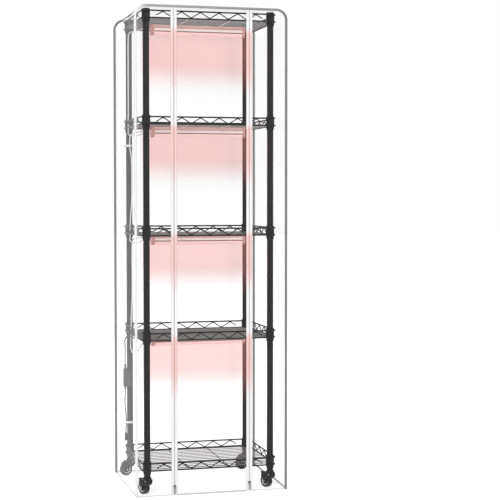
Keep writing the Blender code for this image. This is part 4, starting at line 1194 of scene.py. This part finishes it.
wiring = {
    "cordRadius": 0.0025,
    "slack": 0.0010,
    "gap": 0.0003,
    "bendX": 0.026,
    "bendY": 0.030,
    "routeSteps": 14,
    "tieThickness": 0.0012,
    "tieWidth": 0.009,
    "tieEdge": 0.0003,
    "toolReach": 0.001,
    "tieReach": 0.0040,         # from the post's face to the middle of the tie's head
    "headSize": (0.0050, 0.0080, 0.009),
    "headRounding": 0.0008,
    "tailSize": (0.0012, 0.0140, 0.0045),
    "tailPlace": (0.0016, 0.0090, 0.0),
    "tailRounding": 0.0004,
    "tailTurn": 10,
    "socketRadius": 0.0055,
    "socketAngle": 150.0,
    "socketTop": ((0.0, 0.0), (0.0033, 0.0), (0.0038, -0.0010)),
    # the grips: (inset, drop) of one, and where they start
    "grip": ((0.0, 0.0), (0.0, 0.0014), (0.0005, 0.0017), (0.0005, 0.0023)),
    "gripFrom": 0.0095,
    "gripPitch": 0.0026,
    "socketEnd": (
        (0.0055, 0.0105), (0.0055, 0.0008), (0.0049, 0.0), (0.0031, 0.0), (0.0028, 0.0004),
        (0.0028, 0.0100), (0.0, 0.0100),
    ),
    "topRelief": 0.018,
    "bottomRelief": 0.010,
    "reliefX": -0.0235,
    "reliefRadius": 0.0045,
    "reliefRings": 6,
    "reliefRing": ((0.0, 0.0), (0.0, 0.55), (0.0009, 0.7), (0.0009, 0.85)),     # inset, share of its height
    "reliefLap": 0.002,
    "rounding": 0.003,
    "seamHeight": 0.0007,
    "seamReach": 0.001,
    "seamDepth": 0.0005,
    "seamRounding": (0.0001, 0.0028),
    "wellRadius": 0.0059,
    "wellEnds": (-0.0060, 0.001),
    "button": (
        (0.0, -0.0028), (0.0055, -0.0028), (0.0055, 0.0008), (0.0047, 0.0016), (0.0033, 0.0015),
        (0.0, 0.0011),
    ),
}
rearLeft = middleOf("post_rear_left")
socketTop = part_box("supply_socket")[1].z
lowerTie = middleOf("cord_tie_lower").z
upperTie = middleOf("cord_tie_upper").z


def atPost(angle, radius, height):
    turn = math.radians(angle)
    return (rearLeft.x + radius * math.cos(turn), rearLeft.y + radius * math.sin(turn), height)


def byPost(level, *rows):
    # each row is an angle round the post, a distance from its middle and a rise over the level
    return [atPost(angle, reach, level + rise) for angle, reach, rise in rows]


def lampExit(tier, side, rise=0.0):
    # straight out of the bar's left end, then bending towards the post
    face = -lamp["length"] / 2 - wiring["gap"]
    y = side * lamp["exitOffset"]
    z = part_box("lamp_housing_%d" % tier)[1].z - lamp["exitDrop"]
    thick = 2 * wiring["cordRadius"]
    straight = [(face - step, y, z) for step in (0.0, thick, 2 * thick)]
    return [*straight, (face - wiring["bendX"], y + wiring["bendY"], z + rise)]


def smoothRoute(points):
    route = [Vector(point) for point in points]
    padded = [route[0] * 2 - route[1], *route, route[-1] * 2 - route[-2]]
    dense = []
    for before, here, there, after in zip(padded, padded[1:], padded[2:], padded[3:]):
        for step in range(wiring["routeSteps"]):
            t = step / wiring["routeSteps"]
            dense.append(0.5 * (
                2 * here + (there - before) * t + (2 * before - 5 * here + 4 * there - after) * t ** 2
                + (3 * here - before - 3 * there + after) * t ** 3
            ))
    return dense + [route[-1]]


def makeCords():
    radius = wiring["cordRadius"]
    hug = post["radius"] + radius + wiring["slack"]
    wide = wireShelf["collarRadius"] + radius + wiring["slack"]
    tie = wiring["tieWidth"]
    shelf2, shelf3, shelf4, shelf5 = [shelfLevel(number) for number in range(2, 6)]
    reliefX, reliefY = rearLeft.x + wiring["reliefX"], middleOf("controller_case").y
    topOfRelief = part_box("controller_case")[1].z + wiring["gap"]
    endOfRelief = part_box("controller_case")[0].z - wiring["gap"]
    socketHug = post["radius"] + wiring["socketRadius"] + wiring["gap"]
    leads = (
        ("white_lead_4_to_3", "cord_lamp_4_to_3", jacketWhite, [
            *lampExit(4, 1, 0.004),
            (-0.236, 0.140, shelf5 - 0.043),
            *byPost(shelf5, (268, wide + 0.004, -0.044), (253, hug, -0.070), (251, hug, -0.160)),
            *byPost(shelf4, (251, hug, 0.120), (251, hug, 0.045), (251, wide, 0.014)),
            *byPost(shelf4, (251, wide, -0.038), (262, wide + 0.010, -0.056)),
            (-0.234, 0.110, shelf4 - 0.062),
            *reversed(lampExit(3, 1, -0.006)),
        ]),
        ("white_lead_3_to_2", "cord_lamp_3_to_2", jacketWhite, [
            *lampExit(3, -1, 0.003),
            (-0.238, 0.120, shelf4 - 0.050),
            *byPost(shelf4, (275, wide + 0.003, -0.056)),
            *byPost(upperTie, (270, hug, 2 * tie), (270, hug, tie), (270, hug, -tie)),
            *byPost(shelf4, (300, hug, -0.170)),
            *byPost(shelf3, (300, hug, 0.120), (280, hug, 0.045), (270, wide, 0.014)),
            *byPost(shelf3, (268, wide, -0.038), (268, wide + 0.010, -0.060)),
            (-0.236, 0.110, shelf3 - 0.066),
            *reversed(lampExit(2, 1, -0.006)),
        ]),
        ("white_lead_2_to_1", "cord_lamp_2_to_1", jacketWhite, [
            *lampExit(2, -1, 0.003),
            (-0.230, 0.120, shelf3 - 0.046),
            *byPost(shelf3, (296, wide + 0.003, -0.058), (300, hug, -0.090), (300, hug, -0.160)),
            *byPost(shelf2, (300, hug, 0.120), (285, hug, 0.045), (278, wide, 0.014)),
            *byPost(shelf2, (274, wide, -0.038), (272, hug + 0.001, -0.072), (274, hug + 0.002, -0.100)),
            *byPost(shelf2, (290, wide + 0.008, -0.118)),
            (-0.228, 0.120, shelf2 - 0.104),
            *reversed(lampExit(1, 1, -0.012)),
        ]),
        ("dark_lead_to_controller", "cord_lamp_1_to_controller", jacketDark, [
            *lampExit(1, -1, 0.005),
            (-0.244, 0.090, shelf2 - 0.050),
            (-0.262, 0.146, shelf2 - 0.044),
            (reliefX, reliefY + 0.001, shelf2 - 0.062),
            (reliefX, reliefY, shelf2 - 0.100),
            (reliefX, reliefY, topOfRelief + 0.020),
            (reliefX, reliefY, topOfRelief),
        ]),
        ("dark_supply_lead", "cord_supply", jacketDark, [
            (reliefX, reliefY, endOfRelief),
            (reliefX, reliefY, endOfRelief - 0.016),
            (reliefX - 0.001, reliefY + 0.004, endOfRelief - 0.060),
            *byPost(lowerTie, (200, hug + 0.004, 0.040), (180, hug, tie), (180, hug, -tie)),
            *byPost(socketTop, *[
                (wiring["socketAngle"], socketHug, rise) for rise in (6 * radius, 4 * radius, wiring["gap"])
            ]),
        ]),
    )
    for name, node, finish, points in leads:
        addPiece(name, wires([smoothRoute(points)], radius, fineness=3), finish, "frame", node)


def hull(circles, low, high):
    # the band's outline: the tightest loop round some circles, given as (x, y, radius)
    shape = bmesh.new()
    for x, y, radius in circles:
        for ax, ay in arc((x, y), radius, 0, 345, 23):
            for z in (low, high):
                shape.verts.new((ax, ay, z))
    result = bmesh.ops.convex_hull(shape, input=shape.verts)
    bmesh.ops.delete(shape, geom=list(set(result["geom_interior"] + result["geom_unused"])), context="VERTS")
    return finishMesh(shape)


def makeTies():
    radius, gap, width = wiring["cordRadius"], wiring["gap"], wiring["tieWidth"]
    hug = post["radius"] + radius + wiring["slack"]
    reach = wiring["toolReach"]
    # each with the angles of the leads that it holds and of its head
    for name, height, angles, headAngle in (
        ("upper", upperTie, (251, 270), 150), ("lower", lowerTie, (180,), 215),
    ):
        low, high = height - width / 2, height + width / 2
        circles = [(rearLeft.x, rearLeft.y, post["radius"])]
        circles += [(*atPost(angle, hug, height)[:2], radius) for angle in angles]
        inner = hull([(x, y, r + gap) for x, y, r in circles], low - reach, high + reach)
        outer = hull([(x, y, r + gap + wiring["tieThickness"]) for x, y, r in circles], low, high)
        spot = atPost(headAngle, post["radius"] + wiring["tieReach"], height)
        head = roundedBox(wiring["headSize"], (0, 0, 0), wiring["headRounding"])
        tail = roundedBox(wiring["tailSize"], wiring["tailPlace"], wiring["tailRounding"])
        tie = joined(
            softened(cut(outer, inner), wiring["tieEdge"]), turned(head, headAngle, "Z", spot),
            turned(tail, headAngle + wiring["tailTurn"], "Z", spot)
        )
        addPiece("nylon_tie_" + name, tie, jacketWhite, "frame", "cord_tie_" + name)


def makeController():
    low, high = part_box("controller_case")
    top, bottom = high.z - wiring["topRelief"], low.z + wiring["bottomRelief"]
    middle = Vector(((low.x + high.x) / 2, (low.y + high.y) / 2, (top + bottom) / 2))
    width, depth, height = high.x - low.x, high.y - low.y, top - bottom
    case = roundedBox((width, depth, height), middle, wiring["rounding"], 4)
    buttons = {}
    for name in ("power", "dim", "timer"):
        centre = middleOf("controller_button_" + name)
        buttons[name] = (centre.x, low.y, centre.z)
    well = cylinder(wiring["wellRadius"], *wiring["wellEnds"], 40)
    case = cut(case, joined(*[turned(well, 90, "X", spot) for spot in buttons.values()]))
    # the two halves meet in a fine groove half way through the case
    reach, depth = 2 * wiring["seamReach"], 2 * wiring["seamDepth"]
    seam = cut(
        roundedBox(
            (width + reach, wiring["seamHeight"], height + reach), middle, wiring["seamRounding"][0], 1
        ),
        roundedBox((width - depth, reach, height - depth), middle, wiring["seamRounding"][1], 4)
    )
    case = cut(case, seam)
    lap, rings, radius = wiring["reliefLap"], wiring["reliefRings"], wiring["reliefRadius"]
    reliefs = []
    for start, end in ((top - lap, high.z), (bottom + lap, low.z)):
        step = (end - start) / rings
        profile = [(0, start)]
        for index in range(rings):
            z = start + index * step
            profile += [(radius - inset, z + share * step) for inset, share in wiring["reliefRing"]]
        place = Matrix.Translation((rearLeft.x + wiring["reliefX"], middle.y, 0.0))
        reliefs.append(moved(lathe(profile + [(0, end)], 32), place))
    addPiece("inline_controller", joined(case, *reliefs), caseAbs, "frame", "controller_case")
    for name, spot in buttons.items():
        button = turned(lathe(wiring["button"], 40), 90, "X", spot)
        addPiece("rubber_button_" + name, button, buttonRubber, "button_" + name, "controller_button_" + name)


def makeSocket():
    low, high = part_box("supply_socket")
    radius = wiring["socketRadius"]
    profile = [(across, high.z + up) for across, up in wiring["socketTop"]]
    for index in range(5):
        z = high.z - wiring["gripFrom"] - index * wiring["gripPitch"]
        profile += [(radius - inset, z - drop) for inset, drop in wiring["grip"]]
    profile += [(across, low.z + up) for across, up in wiring["socketEnd"]]
    foot = atPost(wiring["socketAngle"], post["radius"] + radius + wiring["gap"], 0.0)
    addPiece("barrel_socket", lathe(profile, 40), mouldedBlack, "frame", "supply_socket", at=foot)


makeCords()
makeTies()
makeController()
makeSocket()
print("wiring made")


# Film cover

cover = {
    "x": 0.2995,
    "y": 0.2425,
    "hem": 0.002,
    "shoulder": 0.036,
    "pipingRadius": 0.0050,
    "pipingCorner": 0.040,
    "sag": 0.0035,
    "ripple": 0.0022,
    "rippleLength": 0.16,
    "rippleStretch": 2.5,
    "pin": 0.07,
    "sagReach": (0.225, 0.17),  # where the top starts to sag, and over what length
    "sagEdge": 0.08,
    "filmHalf": 0.00025,
    "faceStep": 0.030,
    "wallStep": 0.045,
    "stripStep": 0.027,
    "tapeLap": 0.003,
}
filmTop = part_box("cover_top")[1].z - cover["filmHalf"]
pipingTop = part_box("cover_piping_front")[1].z - cover["pipingRadius"]
shoulderZ = filmTop - cover["shoulder"]
archCentre = (cover["x"] - cover["pipingCorner"], pipingTop - cover["pipingCorner"])
# lines over the curved corners of the faces, as distances from their side edges
archLines = [cover["pipingCorner"] * (1 - math.cos(math.radians(angle))) for angle in range(15, 91, 15)]


def archTop(x):
    # height of the front and rear faces' curved top at x
    beyond = abs(x) - archCentre[0]
    if beyond <= 0:
        return pipingTop
    return archCentre[1] + math.sqrt(max(cover["pipingCorner"] ** 2 - beyond ** 2, 0.0))


def archInset(x, z):
    # how far inside the arch's line a point of a face is
    if abs(x) > archCentre[0] and z > archCentre[1]:
        return cover["pipingCorner"] - math.hypot(abs(x) - archCentre[0], z - archCentre[1])
    return min(cover["x"] - abs(x), pipingTop - z)


def ripple(spot, seam, seed):
    wave = cover["rippleLength"]
    sample = Vector((spot.x / wave, spot.y / wave, spot.z / wave / cover["rippleStretch"]))
    sample += Vector((seed, 0.0, 0.0))
    return noise.noise(sample) * cover["ripple"] * 2 * min(1.0, max(seam, 0.0) / cover["pin"])


def stepsAcross(length, longest, edges):
    # shares from 0 to 1, with extra lines close to both edges, where the seams are
    count = max(2, round(length / longest))
    marks = {index / count for index in range(count + 1)}
    for edge in edges:
        marks |= {edge / length, 1 - edge / length}
    return sorted(mark for mark in marks if 0 <= mark <= 1)


def filmMesh(shares, place):
    # a grid over shares of both directions; place gives (point, distance from the seam)
    across, along = shares
    shape = bmesh.new()
    layer = shape.verts.layers.float.new("seam")
    rows = []
    for v in along:
        row = []
        for u in across:
            spot, seam = place(u, v)
            vert = shape.verts.new(spot)
            vert[layer] = seam
            row.append(vert)
        rows.append(row)
    for low, high in zip(rows, rows[1:]):
        for a, b, c, d in zip(low, low[1:], high[1:], high):
            shape.faces.new((a, b, c, d))
    mesh = bpy.data.meshes.new("film")
    shape.to_mesh(mesh)
    shape.free()
    return mesh


edgeLines = (0.006, 0.0125, 0.02, 0.04)


def facePlace(xStart, xEnd, y, bottom, top, seed):
    def place(u, v):
        x = xStart + (xEnd - xStart) * u
        z = bottom + (min(archTop(x), top) - bottom) * v
        seam = archInset(x, z)
        pinned = min(seam, x - xStart, xEnd - x)
        out = 1 if y > 0 else -1
        spot = Vector((x, y, z))
        spot.y += out * ripple(spot, pinned, seed)
        return spot, seam
    return place


def wrapPlace(u, v):
    # up the left wall, over the left shoulder, across the top and down the right wall
    wall = shoulderZ - cover["hem"]
    bend = cover["shoulder"] * math.pi / 2
    flat = 2 * (cover["x"] - cover["shoulder"])
    walked = u * (2 * wall + 2 * bend + flat)
    y = -cover["y"] + 2 * cover["y"] * v
    side = 1
    if walked > wall + bend + flat / 2:
        walked, side = 2 * wall + 2 * bend + flat - walked, -1
    seam = min(y + cover["y"], cover["y"] - y)
    if walked <= wall:
        spot, out = Vector((-cover["x"], y, cover["hem"] + walked)), Vector((-1, 0, 0))
    elif walked <= wall + bend:
        angle = (walked - wall) / cover["shoulder"]
        out = Vector((-math.cos(angle), 0, math.sin(angle)))
        centre = Vector((cover["shoulder"] - cover["x"], y, shoulderZ))
        spot = centre + out * cover["shoulder"]
    else:
        spot = Vector((cover["shoulder"] - cover["x"] + walked - wall - bend, y, filmTop))
        out = Vector((0, 0, 1))
    level = max(0.0, (spot.z - shoulderZ) / cover["shoulder"])
    spot += out * ripple(Vector((side * spot.x, y, spot.z)), seam, seed=7.0) * (1 - level)
    if level >= 1:
        reach = 1.0
        for limit, place in zip(cover["sagReach"], (spot.x, y)):
            reach *= min(1.0, max(0.0, limit - abs(place)) / cover["sagEdge"])
        spot.z -= cover["sag"] * reach * reach * (3 - 2 * reach)
    spot.x *= side
    return spot, seam


def wrapLength():
    return 2 * (shoulderZ - cover["hem"]) + math.pi * cover["shoulder"] + 2 * (cover["x"] - cover["shoulder"])


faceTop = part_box("door_panel")[1].z
hemBottom = cover["hem"]
tapeOutside = zipper["middle"] + zipper["gap"] + zipper["tapeWidth"]
tapeInside = zipper["middle"] - zipper["gap"] - zipper["tapeWidth"]


def gathersWithDoor(piece):
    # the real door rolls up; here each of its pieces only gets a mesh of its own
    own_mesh(piece)


def makeFilms():
    heights = stepsAcross(pipingTop - hemBottom, cover["faceStep"], edgeLines)
    width = 2 * cover["x"]
    arched = {0.5 + side * (0.5 - line / width) for side in (-1, 1) for line in archLines}
    widths = sorted(set(stepsAcross(width, cover["faceStep"], edgeLines)) | arched)
    rearPlace = facePlace(-cover["x"], cover["x"], cover["y"], hemBottom, pipingTop, seed=3.0)
    rear = addPiece("rear_film", filmMesh((widths, heights), rearPlace), litFilm, "frame", "cover_rear")

    length = wrapLength()
    wallShare = (shoulderZ - hemBottom) / length
    bendShare = cover["shoulder"] * math.pi / 2 / length
    bends = {
        start + bendShare * index / 8
        for start in (wallShare, 1 - wallShare - bendShare) for index in range(9)
    }
    walls = sorted(set(stepsAcross(length, cover["wallStep"], edgeLines)) | bends)
    depths = stepsAcross(2 * cover["y"], cover["faceStep"], edgeLines)
    wrap = addPiece(
        "wrap_film", filmMesh((walls, depths), wrapPlace), clearFilm,
        "frame", "cover_left", "cover_top", "cover_right"
    )

    inner = tapeOutside - cover["tapeLap"]
    for name, start, end in (("left", -cover["x"], -inner), ("right", inner, cover["x"])):
        span = end - start
        marks = set(stepsAcross(span, cover["stripStep"], edgeLines))
        marks |= {line / span if name == "left" else 1 - line / span for line in archLines}
        stripPlace = facePlace(start, end, -cover["y"], hemBottom, pipingTop, seed=11.0)
        strip = filmMesh((sorted(marks), heights), stripPlace)
        piece = addPiece("front_film_" + name, strip, clearFilm, "frame", "cover_front_" + name)

    half = tapeInside + cover["tapeLap"]
    doorWidths = stepsAcross(2 * half, cover["stripStep"], ())
    doorHeights = stepsAcross(faceTop - zipper["hemTop"], cover["faceStep"], edgeLines)
    doorPlace = facePlace(-half, half, -cover["y"], zipper["hemTop"], faceTop, seed=5.0)
    door = filmMesh((doorWidths, doorHeights), doorPlace)
    door = addPiece("door_film", door, clearFilm, "frame", "door_panel")
    gathersWithDoor(door)


def makePipings():
    x, corner = cover["x"], cover["pipingCorner"]
    route = [(x, hemBottom)] + arc(archCentre, corner, 0, 90, 16)
    route += arc((-archCentre[0], archCentre[1]), corner, 90, 180, 16) + [(-x, hemBottom)]
    for name, y in (("front", -cover["y"]), ("rear", cover["y"])):
        mesh = wires([[(a, y, b) for a, b in route]], cover["pipingRadius"], fineness=4)
        finish = frontPiping if name == "front" else rearPiping
        addPiece("edge_piping_" + name, mesh, finish, "frame", "cover_piping_" + name)


def teeth(x, low, high):
    # the coil's turns on one side of the zip's middle line
    shape = bmesh.new()
    count = int((high - low) / zipper["toothPitch"])
    for index in range(count):
        z = low + (index + 0.5) * zipper["toothPitch"]
        made = bmesh.ops.create_cube(shape, size=1.0)["verts"]
        bmesh.ops.scale(shape, verts=made, vec=zipper["tooth"])
        bmesh.ops.translate(shape, verts=made, vec=(x, -cover["y"], z))
    return finishMesh(shape)


def tape(xStart, xEnd, low, high):
    size = (xEnd - xStart, zipper["tapeThickness"], high - low)
    centre = ((xStart + xEnd) / 2, -cover["y"], (low + high) / 2)
    return roundedBox(size, centre, zipper["tapeRounding"], 2)


def makeZips():
    tooth = zipper["tooth"][0] / 2 + zipper["gap"]
    hemTop, coilTop = zipper["hemTop"], faceTop - zipper["coilTop"]
    hemEdge = hemTop - zipper["hemGap"]
    doorTapes, doorTeeth, hemTapes, hemTeeth = [], [], [], []
    for name, side in (("left", -1), ("right", 1)):
        fixed = sorted((side * (zipper["middle"] + zipper["gap"]), side * tapeOutside))
        moving = sorted((side * (zipper["middle"] - zipper["gap"]), side * tapeInside))
        outer, inner = side * (zipper["middle"] + tooth), side * (zipper["middle"] - tooth)
        addPiece("fixed_tape_" + name, tape(*fixed, hemBottom, faceTop), zipTape, "frame", "zip_tape_" + name)
        coil = teeth(outer, hemBottom + zipper["coilFoot"], coilTop)
        addPiece("fixed_coil_" + name, coil, zipCoil, "frame", "zip_tape_" + name)
        doorTapes.append(tape(*moving, hemTop, faceTop))
        doorTeeth.append(teeth(inner, hemTop + zipper["doorCoilFoot"], coilTop))
        hemTapes.append(tape(*moving, hemBottom, hemEdge))
        hemTeeth.append(teeth(inner, hemBottom + zipper["hemCoilFoot"], hemTop - zipper["hemCoilTop"]))
    gathersWithDoor(addPiece("door_tapes", joined(*doorTapes), zipTape, "frame", "door_panel"))
    gathersWithDoor(addPiece("door_coils", joined(*doorTeeth), zipCoil, "frame", "door_panel"))
    addPiece("hem_tapes", joined(*hemTapes), zipTape, "door", "door_hem")
    addPiece("hem_coils", joined(*hemTeeth), zipCoil, "door", "door_hem")
    size = (2 * (tapeInside + cover["tapeLap"]), zipper["hemThickness"], hemEdge - hemBottom)
    hem = roundedBox(size, (0.0, -cover["y"], (hemEdge + hemBottom) / 2), zipper["hemRounding"], 3)
    addPiece("weighted_hem", hem, clearFilm, "door", "door_hem")


slider = {
    "width": 0.010,
    "footWidth": 0.0062,
    "headWidth": 0.0074,
    "height": 0.013,
    "thickness": 0.0026,
    "shoulder": 0.0026,
    "rounding": 0.0007,
    "gap": 0.0013,
    "lugWidth": 0.0030,
    "lugHeight": 0.0100,
    "lugRise": 0.0028,
    "lugSink": 0.0006,
    "lugRounding": 0.0008,
    "eye": 0.0022,
    "eyeRise": 0.0013,
    "eyeRounding": 0.0003,
    "ridge": (0.0008, 0.0007, 0.0072),
    "ridgePlace": (0.0033, -0.0009),
    "ridgeRounding": 0.0002,
    "pullWidth": 0.009,
    "pullLength": 0.029,
    "pullThickness": 0.0014,
    "pullBar": 0.0012,
    "pullEdge": 0.0002,
    "rim": 0.0022,
    "window": 0.0060,
    "windowRounding": 0.0005,
    "holeRadius": 0.0016,
    "holeRise": 0.0005,
    "dishRim": 0.0012,
    "dishTop": -0.0105,
    "dishDepth": 0.0003,
    "toolReach": 0.005,
}


def sliderBody(front, pivotY):
    s = slider
    top = s["height"] / 2
    half = [(s["footWidth"] / 2, -top), (s["width"] / 2, s["shoulder"]), (s["headWidth"] / 2, top)]
    plate = softened(extruded(bothSides(half), front, front + s["thickness"], "XZ"), s["rounding"], 3)
    lug = roundedBox(
        (s["lugWidth"], s["lugRise"] + s["lugSink"], s["lugHeight"]),
        (0, front - (s["lugRise"] - s["lugSink"]) / 2, 0), s["lugRounding"]
    )
    eye = roundedBox((2 * s["lugWidth"], s["eye"], s["eye"]), (0, pivotY, 0), s["eyeRounding"], 1)
    x, z = s["ridgePlace"]
    ridges = [roundedBox(s["ridge"], (side * x, front, z), s["ridgeRounding"], 1) for side in (-1, 1)]
    return joined(plate, cut(lug, eye), *ridges)


def sliderPull(pivotY):
    s = slider
    half, thick = s["pullWidth"] / 2, s["pullThickness"]
    low = half - s["pullLength"]

    def rounded(reach, top):
        return [(-reach, top)] + arc((0.0, low), reach, 180, 360, 20) + [(reach, top)]

    flat = extruded(rounded(half, s["pullBar"] / 2), pivotY - thick / 2, pivotY + thick / 2, "XZ")
    window = roundedBox(
        (s["pullWidth"] - 2 * s["rim"], 2 * s["toolReach"], s["window"]),
        (0, pivotY, -(s["pullBar"] + s["window"]) / 2), s["windowRounding"], 2
    )
    hole = cylinder(s["holeRadius"], -s["toolReach"], s["toolReach"], 24)
    hole = turned(hole, 90, "X", (0.0, pivotY, low + s["holeRise"]))
    dish = rounded(half - s["dishRim"], s["dishTop"])
    dish = extruded(dish, pivotY - thick, pivotY - thick / 2 + s["dishDepth"], "XZ")
    return softened(cut(cut(flat, joined(window, hole)), dish), s["pullEdge"], 2)


def makeSliders():
    front = -cover["y"] - slider["gap"] - slider["thickness"]
    pivotY = front - slider["eyeRise"]
    body, pull = sliderBody(front, pivotY), sliderPull(pivotY)
    for name, side in (("left", -1), ("right", 1)):
        node = "zip_slider_" + name
        at = (side * zipper["middle"], 0.0, middleOf(node).z)
        addPiece("slider_body_" + name, body, zipMetal, node, node, at=at)
        addPiece("slider_pull_" + name, pull, pullMetal, "zip_pull_" + name, "zip_pull_" + name, at=at)


makeFilms()
makePipings()
makeZips()
makeSliders()
print("cover made")
